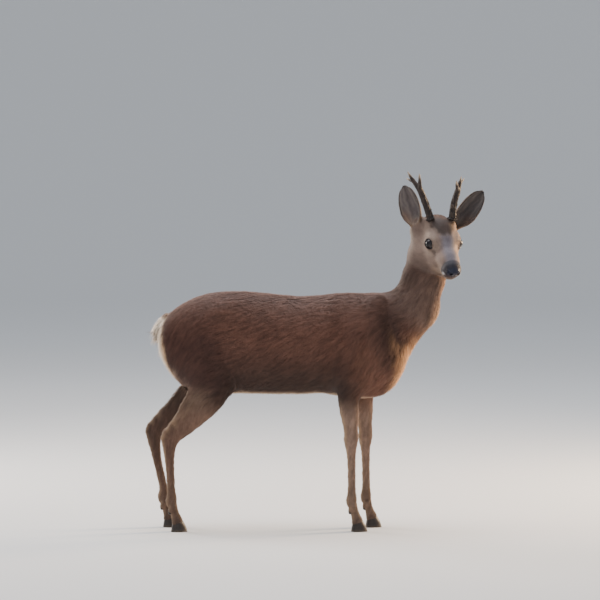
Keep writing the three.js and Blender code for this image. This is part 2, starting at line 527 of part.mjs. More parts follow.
// head with its sockets
const antlerSolids = {};
for (const side of ['right', 'left']) {
  const a = ANTLERS[side];
  const d = new THREE.Vector3(a.beam[3][0] - a.beam[1][0], a.beam[3][1] - a.beam[1][1], a.beam[3][2] - a.beam[1][2]).normalize();
  const burr = (g) => tube([-3.5, -1.5, 1.5, 3.5].map((h, i) => [a.burr[0] + d.x * h, a.burr[1] + d.y * h, a.burr[2] + d.z * h, [12, 15, 15, 11.5][i]]), 9, g, 2.4);
  const beam = (g) => tube(a.beam, 8, g, 16).add(burr(g));
  antlerSolids[side] = { beam, piece: beam(0) };
}
const eyeAt = (s) => headToBody([EYE_SET[0], s * EYE_SET[1], EYE_SET[2]]);
const eyeBall = (s, g) => spheroid(eyeAt(s), [EYE_R + g, EYE_R + g, EYE_R + g], 10, 6);
const earSolid = (side, g) => ear(EARS[side].root, EARS[side].tip, EARS[side].open, g);

const headCuts = [eyeBall(-1, GAP), eyeBall(1, GAP), antlerSolids.right.beam(GAP), antlerSolids.left.beam(GAP), earSolid('right', GAP), earSolid('left', GAP)];
let head = surface([350, -215, 690], [600, 70, 975], [14.2, 14, 14]);
head = solid(head).intersect(headRegion(0));
for (const c of headCuts) head = head.subtract(c);
piece('head', head, FACE, 0.85);

let neck = solid(surface([250, -120, 560], [560, 110, 960], [27, 22, 26])).intersect(neckBlock(-GAP)).subtract(headRegion(GAP));
for (const c of headCuts.slice(4)) neck = neck.subtract(c);
piece('neck', neck, COAT, 0.9);

let trunk = solid(surface([-440, -150, 346], [490, 150, 800], [44, 34, 34])).subtract(neckBlock(0)).subtract(tailBlock(GAP));
for (const l of LEGS) trunk = trunk.subtract(legBlock(l, GAP));
piece('trunk', trunk, COAT, 0.9);
piece('tail', solid(surface([-420, -50, 540], [-300, 50, 690], [15, 14, 15])).intersect(tailBlock(0)), PALE, 0.9);

// legs, claws and dewclaws
for (const l of LEGS) {
  const name = `${l.fore ? 'foreleg' : 'hindleg'}_${l.side > 0 ? 'left' : 'right'}`;
  const foot = `${l.fore ? 'fore' : 'hind'}_${l.side > 0 ? 'left' : 'right'}`;
  const x0 = l.toe - 24, yc = l.side * l.track;
  const lo = (l.fore ? [l.cut - 90, l.side > 0 ? 10 : -150, -6] : [-430, l.side > 0 ? 0 : -156, -6]).map((v, i) => v - l.start[i]);
  const hi = l.fore ? [l.cut + 90, l.side > 0 ? 150 : -10, 480] : [-80, l.side > 0 ? 150 : 0, 620];
  let leg = solid(surface(lo, hi, l.fore ? [16, 12.4, 26] : [19.5, 13.2, 26])).intersect(legBlock(l, 0)).subtract(tailBlock(GAP));
  // the coronet: a plane that drops from toe to heel
  const slope = (HOOF_TOE_H - HOOF_HEEL_H) / (HOOF_LEN * HOOF_TOP);
  leg = leg.subtract(block([-200, -200, -400], [200, 200, GAP], Math.atan(slope) / deg, [x0, 0, HOOF_HEEL_H]));
  for (const s of [-1, 1]) {
    const dew = (g) => spheroid([l.toe - 27, yc + s * 8.5, 60], [6.5 + g, 5 + g, 9 + g], 6, 4);
    leg = leg.subtract(dew(GAP));
    const which = s * l.side > 0 ? 'outer' : 'inner';
    piece(`hoof_${foot}_${which}`, claw(x0, yc + s * CLEFT / 2, s), CLAW, 0.5, false);
    piece(`dewclaw_${foot}_${which}`, dew(0), CLAW, 0.55, false);
  }
  piece(name, leg, LIMB, 0.9);
}

for (const [side, s] of [['right', -1], ['left', 1]]) {
  const a = ANTLERS[side], b = antlerSolids[side];
  piece(`eye_${side}`, eyeBall(s, 0), EYE, 0.1, false);
  piece(`ear_${side}`, earSolid(side, 0), EAR, 0.9, false);
  piece(`antler_beam_${side}`, b.piece, HORN, 0.65, false);
  const front = tube(a.front, 5, 0, 14).subtract(b.beam(GAP));
  const top = tube(a.top, 5, 0, 12).subtract(b.beam(GAP));
  const rear = tube(a.rear, 5, 0, 12).subtract(b.beam(GAP)).subtract(tube(a.top, 5, GAP, 12));
  piece(`antler_tine_front_${side}`, front, HORN, 0.6);
  piece(`antler_tine_top_${side}`, top, HORN, 0.6);
  piece(`antler_tine_rear_${side}`, rear, HORN, 0.6);
}

export default model;
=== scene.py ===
# Roebuck, life size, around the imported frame. The skin is one smooth surface
# grown from the same masses as the solids, set in by the coat's depth. The
# coat is joined meshes of thin tapered locks that follow the lie of the hair.
import bpy
import math
import numpy as np
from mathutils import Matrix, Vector


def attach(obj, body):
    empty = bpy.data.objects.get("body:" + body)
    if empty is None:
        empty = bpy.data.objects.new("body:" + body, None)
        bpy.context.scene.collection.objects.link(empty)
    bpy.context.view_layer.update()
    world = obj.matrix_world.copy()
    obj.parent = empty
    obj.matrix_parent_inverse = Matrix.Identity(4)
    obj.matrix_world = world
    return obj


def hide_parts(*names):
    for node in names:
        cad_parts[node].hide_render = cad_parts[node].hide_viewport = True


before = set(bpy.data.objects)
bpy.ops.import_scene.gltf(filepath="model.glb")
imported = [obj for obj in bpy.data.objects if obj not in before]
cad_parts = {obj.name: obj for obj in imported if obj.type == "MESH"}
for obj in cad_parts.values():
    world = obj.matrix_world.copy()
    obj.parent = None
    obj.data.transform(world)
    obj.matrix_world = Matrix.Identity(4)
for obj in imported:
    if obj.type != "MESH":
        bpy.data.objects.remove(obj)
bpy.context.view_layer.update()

# ---------------------------------------------------------------- the body as one smooth field (mm, drawing frame)
ORIGIN = np.array([100.24, -20.14, 0.0])
HEAD_HEADING, HEAD_PITCH = -72.0, 32.0
EYE_MID = np.array([478.0, -55.0, 845.0])
EYE_SET, EYE_R = (5.0, 40.5, 6.0), 16.5

BARREL = np.array([
    [-345, 618, 516, 46, 0.00], [-300, 650, 450, 70, 0.02], [-240, 687, 418, 87, 0.05], [-180, 703, 401, 95, 0.09],
    [-120, 705, 404, 100, 0.14], [-60, 701, 403, 104, 0.16], [0, 695, 402, 107, 0.17], [60, 690, 402, 108, 0.17],
    [116, 693, 405, 106, 0.16], [170, 699, 397, 101, 0.14], [220, 700, 389, 94, 0.12], [270, 696, 393, 85, 0.08],
    [320, 676, 418, 72, 0.02], [350, 660, 446, 60, 0.00]], float)
BARREL_POWER = 2.3


def S(a, b, ra, rb, q=1.0, k=12):
    return dict(seg=True, a=np.array(a, float), b=np.array(b, float), ra=ra, rb=rb, q=q, k=k)


def E(c, rad, pitch=0, yaw=0, k=20):
    return dict(seg=False, c=np.array(c, float), rad=np.array(rad, float), pitch=pitch, yaw=yaw, k=k)


def mirrored(p):
    m = np.array([1, -1, 1.0])
    if p["seg"]:
        return dict(p, a=p["a"] * m, b=p["b"] * m)
    return dict(p, c=p["c"] * m, yaw=-p["yaw"])


def both(*ps):
    return [x for p in ps for x in (p, mirrored(p))]


def chain(stations, side, dx, k=3):
    st = [np.array(s, float) for s in stations]
    at = lambda i: st[max(0, min(len(st) - 1, i))]
    pts = []
    for i in range(len(st) - 1):
        for s in range(2):
            t = s / 2
            p0, p1, p2, p3 = at(i - 1), at(i), at(i + 1), at(i + 2)
            pts.append(0.5 * (2 * p1 + (p2 - p0) * t + (2 * p0 - 5 * p1 + 4 * p2 - p3) * t * t + (3 * p1 - p0 - 3 * p2 + p3) * t ** 3))
    pts.append(st[-1])
    return [S([a[0] + dx, a[1] * side, a[2]], [b[0] + dx, b[1] * side, b[2]], a[3], b[3], (a[4] + b[4]) / 2, k)
            for a, b in zip(pts[:-1], pts[1:])]


def leg(fore, side, cut, toe, track, k, masses, start=None):
    return dict(fore=fore, side=side, toe=toe, track=track, k=k, masses=masses, hock=(-326, 282) if side < 0 else (-376, 292))


# masses of the trunk
TRUNK_MASSES = [
  E([286, 0, 516], [74, 68, 108], 0, 0, 34),           # breast
  *both(
    E([262, 46, 592], [60, 38, 108], -22, 0, 36),      # shoulder blade
    E([308, 42, 514], [54, 38, 60], 0, 0, 44),         # point of the shoulder
    E([226, 58, 500], [60, 33, 84], 0, 0, 38),         # upper arm
    E([-240, 42, 609], [94, 48, 67], 14, 0, 36),        # croup
    E([-240, 58, 520], [82, 42, 104], 0, 0, 44),       # thigh
    E([-288, 38, 548], [52, 42, 76], 14, 0, 30),       # buttock
    E([-190, 62, 462], [58, 34, 66], -30, 0, 40)       # front of the thigh
  ),
]
TAIL_MASSES = [
  S([-332, 0, 622], [-358, 0, 588], 18, 14, 1.35, 18),
]
NECK_MASSES = [
  S([318, 0, 600], [395, 0, 660], 99, 70, 0.76, 32),
  S([395, 0, 660], [424, 0, 745], 70, 60.5, 0.76, 24),
  S([425, 0, 745], [434, 2, 808], 61, 56, 0.78, 20),
  S([434, 2, 808], [449, 4, 872], 56, 48, 0.84, 20),
  S([431, -2, 834], [413, -5, 880], 40, 33, 0.9, 16),          # nape behind the ears
]
NECK_BLEND = 34
# limbs as stations [x, side, z, radius, width ratio] fetlock, pastern and coronet last
FORE = [
  [216, 64, 456, 52, 0.70], [204, 67, 402, 33, 0.78], [206, 65, 352, 27.5, 0.80], [210, 63, 300, 20.6, 0.84],
  [211.5, 62, 272, 20, 0.88], [211, 62, 236, 14.4, 0.88], [212, 61, 200, 12.4, 0.88], [213, 61, 125, 12.0, 0.92],
  [213, 61, 98, 14.6, 0.96], [214, 61, 82, 13.5, 1.0], [222, 61, 54, 12.3, 1.08], [227.5, 61, 38, 14.2, 1.16], [229.5, 61, 31, 14.8, 1.18],
]
foreleg = lambda side, dx: [
  *chain(FORE, side, dx),
  S([203 + dx, 62 * side, 270], [205 + dx, 62 * side, 252], 12.5, 10, 0.9, 9),      # back of the knee
  S([206 + dx, 61 * side, 92], [207 + dx, 61 * side, 82], 8.5, 8, 1.0, 8),          # sesamoids
]
HIND = lambda hx, hz, fx, sx, sz: [
  [sx - 62, 68, sz + 78, 74, 0.60], [sx - 34, 74, sz + 4, 56, 0.60], [sx - 66, 74, sz - 62, 40.5, 0.64], [hx + 46, 71, hz + 36, 33, 0.66],
  [hx + 12, 70, hz + 2, 26, 0.68], [hx + 2, 69, hz - 24, 21, 0.74], [hx + (fx - hx) * 0.2, 68, hz - 58, 15.5, 0.82],
  [hx + (fx - hx) * 0.42, 67, hz - 98, 12.8, 0.85], [fx - 1, 65, 122, 12.3, 0.9], [fx, 65, 98, 14.8, 0.96], [fx + 1, 65, 82, 13.7, 1.0],
  [fx + 9, 65, 54, 12.5, 1.08], [fx + 14.5, 65, 38, 14.2, 1.16], [fx + 16.5, 65, 31, 14.8, 1.18],
]
hindleg = lambda side, hx, hz, fx, sx, sz: [
  *chain(HIND(hx, hz, fx, sx, sz), side, 0),
  S([sx - 92, side * 71, sz - 26], [hx + 8, side * 70, hz + 22], 19, 9, 0.66, 12),    # tendon above the hock
  S([hx - 8, side * 69, hz + 10], [hx - 12, side * 69, hz - 6], 10.5, 11.5, 0.85, 10),     # point of the hock
  S([fx - 8, side * 65, 92], [fx - 7, side * 65, 82], 8.5, 8, 1.0, 8),                    # sesamoids
]
LEGS = [
  leg(1, -1, 214, 234, 61, 22, foreleg(-1, -2), [3, 3, 16]),
  leg(1, 1, 256, 278, 61, 22, foreleg(1, 42), [15, 6, 16]),
  leg(0, -1, -200, -295, 65, 26, hindleg(-1, -326, 282, -318, -160, 432), [12, 9, 16]),
  leg(0, 1, -230, -323, 65, 26, hindleg(1, -376, 292, -346, -190, 436), [6, 0, 16]),
]
# the head in its own axes: forward along the muzzle, left, up; zero midway between the eyes
HEAD_MASSES = [
  S([-66, 0, 10], [-26, 0, 12], 43, 41, 1.02, 12),           # braincase
  S([-36, 0, 20], [6, 0, 8], 33, 31, 1.36, 20),              # forehead
  S([0, 0, -8], [62, 0, -16], 40, 30, 0.94, 22),             # face
  S([62, 0, -16], [100, 0, -23], 30, 26.0, 1.04, 12),        # muzzle
  S([104, 0, -14], [117, 0, -19], 18.0, 15.5, 1.35, 7),      # nose
  S([-48, 0, -44], [34, 0, -55], 36, 27, 1.0, 18),           # jaw
  S([34, 0, -55], [98, 0, -44], 27, 14, 1.05, 14),           # chin
  *both(
    E([-1, 38, 12], [26, 14, 19], 0, -6, 14),                # rim of the eye
    E([-8, 32, -38], [55, 19, 43], -8, -8, 20),              # cheek
    E([-48, 30, 38], [19, 14, 20], 0, 0, 14),                # pedicle
    S([-70, 30, 12], [-84, 46, 20], 20, 17, 1.0, 16),        # root of the ear
    E([96, 16, -30], [20, 12, 13], 0, 0, 8)                  # upper lip
  ),
]
HEAD_BLEND = 22


def smin(a, b, k):
    h = np.clip(0.5 + 0.5 * (b - a) / k, 0, 1)
    return b * (1 - h) + a * h - k * h * (1 - h)


def smax(a, b, k):
    return -smin(-a, -b, k)


def pchip(xs, ys):
    xs, ys = np.asarray(xs, float), np.asarray(ys, float)
    h = np.diff(xs)
    d = np.diff(ys) / h
    m = np.zeros_like(ys)
    for i in range(1, len(xs) - 1):
        if d[i - 1] * d[i] > 0:
            w1, w2 = 2 * h[i] + h[i - 1], h[i] + 2 * h[i - 1]
            m[i] = (w1 + w2) / (w1 / d[i - 1] + w2 / d[i])
    m[0], m[-1] = d[0], d[-1]

    def f(x):
        x = np.clip(x, xs[0], xs[-1])
        i = np.clip(np.searchsorted(xs, x) - 1, 0, len(xs) - 2)
        t = (x - xs[i]) / h[i]
        return ((1 + 2 * t) * (1 - t) ** 2 * ys[i] + t * (1 - t) ** 2 * h[i] * m[i]
                + t * t * (3 - 2 * t) * ys[i + 1] + t * t * (t - 1) * h[i] * m[i + 1])
    return f


b_top, b_low, b_wide, b_egg = [pchip(BARREL[:, 0], BARREL[:, j]) for j in (1, 2, 3, 4)]


def barrel(P):
    x, y, z = P.T
    top, bot, w0 = b_top(x), b_low(x), b_wide(x)
    c, h = (top + bot) / 2, (top - bot) / 2
    t = (z - c) / h
    w = w0 * (1 - b_egg(x) * np.clip(t, -1.3, 1.3))
    a, b, n = np.abs(y) / w, np.abs(t), BARREL_POWER
    r = (a ** n + b ** n + 1e-9) ** (1 / n)
    g = np.hypot(a ** (n - 1) / w, b ** (n - 1) / h) / r ** (n - 1) + 1e-6
    return smax(smax((r - 1) / g, x - 352, 60), -352 - x, 60)


def prepare(ps, head=False):
    out = []
    for p in ps:
        p = dict(p)
        if p["seg"]:
            p["ab"] = p["b"] - p["a"]
            p["ll"] = float(p["ab"] @ p["ab"])
            p["w"] = 1 / p["q"] ** 2 - 1
            lo, hi = np.minimum(p["a"], p["b"]), np.maximum(p["a"], p["b"])
            r = max(p["ra"], p["rb"]) * max(1.0, p["q"])
        else:
            t, a = math.radians(p["pitch"]), math.radians(p["yaw"])
            X = np.array([math.cos(t) * math.cos(a), math.cos(t) * math.sin(a), math.sin(t)])
            Y = np.array([-math.sin(a), math.cos(a), 0])
            p["m"] = np.array([X, Y, np.cross(X, Y)])
            lo = hi = p["c"]
            r = float(max(p["rad"]))
        if head:
            c = to_body(np.array([(lo + hi) / 2]))[0]
            r = r + float(np.linalg.norm(hi - lo)) / 2
            lo = hi = c
        p["lo"], p["hi"] = lo - r - 56, hi + r + 56
        out.append(p)
    return out


def distance(p, P):
    if p["seg"]:
        d = P - p["a"]
        t = np.clip(d @ p["ab"] / p["ll"], 0, 1)
        v = d - t[:, None] * p["ab"]
        r = p["ra"] + (p["rb"] - p["ra"]) * t
        vx2 = v[:, 0] ** 2 + v[:, 2] ** 2
        gy = v[:, 1] * (1 + p["w"])
        s = np.sqrt(np.maximum(vx2 + v[:, 1] * gy, 1e-9))
        return (s - r) * s / np.sqrt(vx2 + gy * gy + 1e-9)
    a = (P - p["c"]) @ p["m"].T / p["rad"]
    k0 = np.sqrt((a * a).sum(1)) + 1e-9
    b = a / p["rad"]
    return k0 * (k0 - 1) / (np.sqrt((b * b).sum(1)) + 1e-9)


_h = math.radians(HEAD_HEADING)
_p = math.radians(HEAD_PITCH)
AHEAD = np.array([math.cos(_h) * math.cos(_p), math.sin(_h) * math.cos(_p), -math.sin(_p)])
LEFT = np.array([-math.sin(_h), math.cos(_h), 0.0])
UP = np.array([math.cos(_h) * math.sin(_p), math.sin(_h) * math.sin(_p), math.cos(_p)])
HM = np.stack([AHEAD, LEFT, UP])


def to_head(P):
    return (P - EYE_MID) @ HM.T


def to_body(Q):
    return Q @ HM + EYE_MID


TRUNK_SET = prepare([*TRUNK_MASSES, *TAIL_MASSES])
NECK_SET = prepare(NECK_MASSES)
LEG_SETS = [dict(l, set=prepare(l["masses"])) for l in LEGS]
HEAD_SET = prepare(HEAD_MASSES, head=True)


def gather(ps, P, lo, hi, f=None, Q=None):
    for p in ps:
        if np.any(p["lo"] > hi) or np.any(p["hi"] < lo):
            continue
        d = distance(p, P if Q is None else Q)
        f = d if f is None else smin(f, d, p["k"])
    return f


def join(f, g, k):
    return g if f is None else (f if g is None else smin(f, g, k))


def ramp(x, a, b):
    t = np.clip((x - a) / (b - a), 0, 1)
    return t * t * (3 - 2 * t)


def bump(x, w):
    return np.exp(-(x / w) ** 2)


def coat_depth(P, Q):
    """How far the skin lies under the tips of the coat, mm."""
    d = np.interp(P[:, 2], [0, 60, 200, 300, 380, 450], [1.6, 2.0, 2.4, 3.0, 4.6, 6.5])
    u, w = Q[:, 0], Q[:, 2]
    dh = np.interp(u, [-115, -70, -30, 20, 80, 120], [6.5, 4.6, 3.4, 2.2, 1.5, 0.9])
    hw = ramp(w, -100, -66) * ramp(P[:, 2], 742, 764)
    return d * (1 - hw) + dh * hw


# ---------------------------------------------------------------- ears
EAR_WIDE = 63.0
EAR_T = [0, 0.1, 0.25, 0.42, 0.6, 0.78, 0.9, 1.0]
ear_w = pchip(EAR_T, [0.33, 0.55, 0.85, 1.0, 0.97, 0.80, 0.57, 0.15])
ear_a = pchip(EAR_T, [128, 118, 98, 80, 66, 54, 46, 40])
EARS = []
for root, tip, opens in (([404, -12, 893], [364, 4, 1013], [-0.22, -0.95, -0.12]), ([511, 12, 893], [598, 22, 996], [0.34, -0.9, 0.1])):
    root, A, Op = np.array(root, float), np.array(tip, float) - np.array(root, float), np.array(opens)
    ln = float(np.linalg.norm(A))
    A = A / ln
    Op = Op - A * (Op @ A)
    Op /= np.linalg.norm(Op)
    EARS.append(dict(root=root, A=A, O=Op, W=np.cross(A, Op), len=ln))


def ear_coords(e, P):
    """t along the ear (0 root, 1 tip), v across (-1..1 edge to edge), signed height off the leaf (positive on the hollow side), half width."""
    d = P - e["root"]
    s = d @ e["A"]
    t = s / e["len"]
    tc = np.clip(t, 0, 1)
    w = (EAR_WIDE / 2 - 1.2) * ear_w(tc)
    half = np.radians(ear_a(tc))
    R = w / np.sin(np.minimum(half, math.pi / 2))
    yo = d @ e["O"] - (R - 10 + 14.4 * (tc - 0.5) ** 2)
    yw = d @ e["W"]
    rho = np.hypot(yo, yw)
    a = np.arctan2(yw, -yo)
    return t, a / half, R - rho, s, yo, yw, half, R, a


def ear(e, P, extra=0.0):
    t, v, hgt, s, yo, yw, half, R, a = ear_coords(e, P)
    tc = np.clip(t, 0, 1)
    sg = np.where(yw >= 0, 1.0, -1.0)
    d_arc = np.abs(hgt)
    d_end = np.hypot(yw - sg * R * np.sin(half), yo + R * np.cos(half))
    d = np.where(np.abs(a) <= half, d_arc, d_end)
    over = np.maximum(np.maximum(s - e["len"], -26 - s), 0)
    d = np.hypot(d, over)
    th = 3.5 * (1 - 0.30 * np.clip(np.abs(v), 0, 1) ** 4) * (1 - 0.30 * tc ** 3)
    # the two long folds inside a deer's ear
    th = th + (hgt > 0) * (0.9 * bump(v - 0.32, 0.09) + 0.9 * bump(v + 0.30, 0.09)) * ramp(t, 0.02, 0.2) * (1 - ramp(t, 0.6, 0.85))
    return d - th / 2


# ---------------------------------------------------------------- the head's own detail
EYES = []
for sd in (-1, 1):
    c = np.array([EYE_SET[0], sd * EYE_SET[1], EYE_SET[2]])
    n = np.array([0.50, sd * 0.85, 0.15])
    n /= np.linalg.norm(n)
    f = np.array([0.84, 0, -0.24])
    f = f - n * (f @ n)
    f /= np.linalg.norm(f)
    up = np.cross(n, f) * (1 if np.cross(n, f)[2] > 0 else -1)
    EYES.append(dict(side=sd, c=c, n=n, f=f, u=up))


def eye_open(e, Q):
    """Negative inside the cone of the open lids."""
    d = Q - e["c"]
    s, t, r = d @ e["f"], d @ e["u"], d @ e["n"]
    across = np.maximum(np.hypot(s, t), 1e-6)
    arc = EYE_R * np.arctan2(across, r) / across          # measured along the ball from the middle of the eye
    s, t = s * arc, t * arc
    # almond: the front corner drawn out and low
    a = np.where(s > 0, 15.6, 16.6)
    b = np.where(t > 0, 14.2, 13.4) * (1 - 0.12 * np.clip(s / 15.6, 0, 1) ** 2)
    g = (np.sqrt((s / a) ** 2 + (t / b) ** 2) - 1) * 13.0
    return np.where(r > -4, g, 20.0), s, t, r


def mouth_height(u):
    return np.interp(u, [40, 58, 74, 92, 108, 124], [-41.5, -41.0, -38.5, -37.0, -36.2, -35.5])


def head_detail(f, Q):
    """f is the head's distance at the skin level; adds brows, lids, nostrils, mouth and the rest."""
    u, v, w = Q.T
    av = np.abs(v)
    # grooves: pushed in where positive
    g = 1.7 * bump(w - mouth_height(u), 1.5) * ramp(u, 50, 60) * (1 - ramp(u, 121, 127)) * ramp(av, 0.5, 3)
    g += 1.0 * bump(v, 1.2) * ramp(u, 108, 116) * ramp(w, -37, -33) * (1 - ramp(w, -20, -15))
    g += 1.3 * bump(w - (mouth_height(u) + 8.5), 3.0) * ramp(u, 84, 96) * (1 - ramp(u, 110, 118)) * ramp(av, 12, 18)
    # tear gland in front of the eye
    t = np.clip((u - 22) / 15, 0, 1)
    g += 1.2 * bump(np.hypot(u - (25 + 12 * t), w - (-4.5 - 5.0 * t)), 2.4) * ramp(av, 18, 24)
    # hollow under the brow's front and along the cheek's bone
    g += 1.8 * bump(np.hypot((u - 36) / 1.7, w - 2), 11) * ramp(av, 12, 22)
    g += 1.2 * bump(np.hypot((u + 16) / 2.2, w + 18), 8) * ramp(av, 26, 34)
    # flat between the brows
    g += 1.6 * bump(np.hypot((u + 6) / 1.8, v), 10) * ramp(w, 20, 30)
    f = f + g
    for e in EYES:
        d = Q - e["c"]
        rr = np.sqrt((d * d).sum(1))
        o, s, tt, r = eye_open(e, Q)
        near = rr < 38
        if not near.any():
            continue
        gap = o - 3.0 + 16.0 * ramp(rr, 19, 37)                    # nothing of the face stands before the ball
        f = np.where(near, smax(f, -np.maximum(gap, (EYE_R + 1.0) - rr), 5.0), f)
        lid = rr - (EYE_R + 1.7) - 0.8 * bump(o - 1.4, 1.2)       # lids lie on the ball, thick at their rims
        lid = np.where(r > -4, lid + 0.5 * np.maximum(o - 4, 0), 1e3)
        f = np.where(near, smin(f, lid, 6.0), f)
        f = f + np.where(near, 0.9 * bump(o - 6.0, 1.5) * ramp(tt, -6, 2), 0)     # fold above the upper lid
        cut = np.maximum(o, (EYE_R - 4.5) - rr)
        f = np.where(near, smax(f, -cut, 1.0), f)
    # nostrils: comma-shaped, running up and out
    for sd in (-1, 1):
        c = np.array([127.5, sd * 10.5, -19.5])
        d = Q - c
        yaw = math.radians(46 * sd)
        X = np.array([math.cos(yaw), math.sin(yaw), 0])
        Y = np.array([-math.sin(yaw), math.cos(yaw), 0])
        a = np.stack([d @ X, d @ Y, d[:, 2] + 0.35 * sd * (d @ Y)], 1) / np.array([9.0, 4.4, 3.6])
        k0 = np.sqrt((a * a).sum(1)) + 1e-9
        hole = (k0 - 1) * 3.9
        t = np.clip((d[:, 1] * sd) / 9.5, 0, 1)
        c2 = c + np.outer(t, [-7.5, 9.5 * sd, 5.5])
        slit = np.sqrt(((Q - c2) ** 2).sum(1)) - (2.9 - 1.3 * t)
        hole = smin(hole, slit, 2.5)
        rim = 1.0 * bump(hole - 2.2, 1.8) * ramp(w, -34, -26)
        f = smax(f - rim, -hole, 1.2)
    return f


def muscle_detail(f, P):
    """Hollows (pushed in) and swellings of the body under the short coat; the same on both sides."""
    x, y, z = P[:, 0], np.abs(P[:, 1]), P[:, 2]
    side = ramp(y, 14, 44)

    def line(x0, z0, x1, z1, w):
        t = np.clip(((x - x0) * (x1 - x0) + (z - z0) * (z1 - z0)) / ((x1 - x0) ** 2 + (z1 - z0) ** 2), 0, 1)
        return bump(np.hypot(x - x0 - t * (x1 - x0), z - z0 - t * (z1 - z0)), w)

    g = 5.0 * line(322, 655, 345, 560, 24)                    # in front of the shoulder blade
    g += 3.2 * line(196, 650, 168, 500, 26)                   # behind the shoulder
    g -= 2.4 * line(262, 668, 300, 545, 15)                   # spine of the shoulder blade
    g -= 3.0 * line(236, 560, 200, 470, 22)                   # triceps
    g += 2.2 * line(262, 560, 232, 480, 13)                   # between triceps and upper arm
    g += 6.0 * bump(np.hypot((x + 118) / 1.1, (z - 585) / 1.35), 42)   # hollow of the flank
    g -= 3.4 * bump(np.hypot(x + 160, z - 655), 26)           # point of the hip
    g -= 2.6 * line(-128, 520, -96, 425, 15)                  # fold of the flank
    g += 1.2 * line(-292, 600, -258, 490, 20)                 # groove down the thigh
    g += 1.8 * line(-210, 590, -176, 470, 18)
    g -= 2.6 * bump(np.hypot(x + 158, z - 440), 22)           # stifle
    g += 2.6 * line(-40, 440, 150, 430, 26)                   # drawn-in lower flank
    f = f + 1.5 * g * side * ramp(z, 395, 430)
    # tendon groove of the lower thigh, knee and hock bones, tendons behind the cannons
    for l in LEGS:
        on = (P[:, 1] * l["side"] > 0) & ((x > 0) == bool(l["fore"]))
        if l["fore"]:
            dx = l["toe"] - 236
            k = 1.3 * bump(z - 160, 52) * bump(x - (207.5 + dx), 2.6) - 1.0 * bump(np.hypot(x - (218 + dx), (z - 270) / 1.6), 9)
            k = k + 1.2 * bump(np.hypot(x - (209 + dx), (z - 238) / 1.5), 7)
        else:
            hx, hz = l["hock"]
            fx = l["toe"] + 23 - 46
            k = 2.4 * bump(np.hypot(x - (hx + 18), (z - (hz + 34)) / 1.8), 8) + 1.3 * bump(z - 170, 44) * bump(x - (fx - 5 + (hx - fx) * np.clip((z - 100) / (hz - 100), 0, 1)), 2.8)
            k = k - 1.2 * bump(np.hypot(x - (hx + 8), z - (hz - 14)), 9)
        f = f + np.where(on, k, 0)
    return f


DEWS = prepare([S([l["toe"] - 19, l["side"] * l["track"] + s * 8.5, 76], [l["toe"] - 25.5, l["side"] * l["track"] + s * 8.5, 63], 9.5, 6.6, 1, 5)
                for l in LEGS for s in (-1, 1)])
CORONETS = prepare([S([l["toe"] - 12.5, l["side"] * l["track"] + s * 9.2, 27], [l["toe"] - 2.5, l["side"] * l["track"] + s * 9.2, 34], 8.6, 8.6, 0.98, 5)
                    for l in LEGS for s in (-1, 1)])


def flesh(P, skin=False):
    """The coat's outer surface is 0; with skin, the bare skin's is 0."""
    P = np.ascontiguousarray(P, float)
    out = np.full(len(P), 60.0)
    cell = np.floor(P / 56.0).astype(np.int64)
    key = (cell[:, 0] + 512) * 1048576 + (cell[:, 1] + 512) * 1024 + cell[:, 2] + 512
    order = np.argsort(key, kind="stable")
    cuts = np.flatnonzero(np.diff(key[order])) + 1
    for ix in np.split(order, cuts):
        p = P[ix]
        lo, hi = p.min(0), p.max(0)
        f = None
        if hi[2] > 330 and lo[0] < 440 and hi[0] > -430 and lo[2] < 780:
            f = barrel(p)
        f = gather(TRUNK_SET, p, lo, hi, f)
        f = join(f, gather(NECK_SET, p, lo, hi), NECK_BLEND)
        for l in LEG_SETS:
            f = join(f, gather(l["set"], p, lo, hi), l["k"])
        Q = to_head(p)
        h = gather(HEAD_SET, p, lo, hi, None, Q)
        if skin:
            depth = coat_depth(p, Q)
            f = join(f, h, HEAD_BLEND)
            if f is not None:
                f = muscle_detail(f + depth, p)
                if lo[2] < 110:
                    f = gather(DEWS, p, lo, hi, f)
                    f = gather(CORONETS, p, lo, hi, f)
                if h is not None and lo[2] > 690:
                    f = head_detail(f, Q)
            for e in EARS:
                c = e["root"] + e["A"] * e["len"] / 2
                if np.all(lo < c + 100) and np.all(hi > c - 100):
                    f = join(f, ear(e, p), 7.0)
        else:
            f = join(f, h, HEAD_BLEND)
        if f is not None:
            out[ix] = f
    return out


def gradient(fn, P, e=0.4):
    g = np.empty_like(P)
    for c in range(3):
        d = np.zeros(3)
        d[c] = e
        g[:, c] = (fn(P + d) - fn(P - d)) / (2 * e)
    return g


def axis(*runs):
    """Grid lines through runs of (end, step), from a start."""
    start, out = runs[0], [float(runs[0])]
    for end, step in runs[1:]:
        n = max(1, round((end - out[-1]) / step))
        a = out[-1]
        out += [a + (end - a) * (i + 1) / n for i in range(n)]
    return np.array(out)


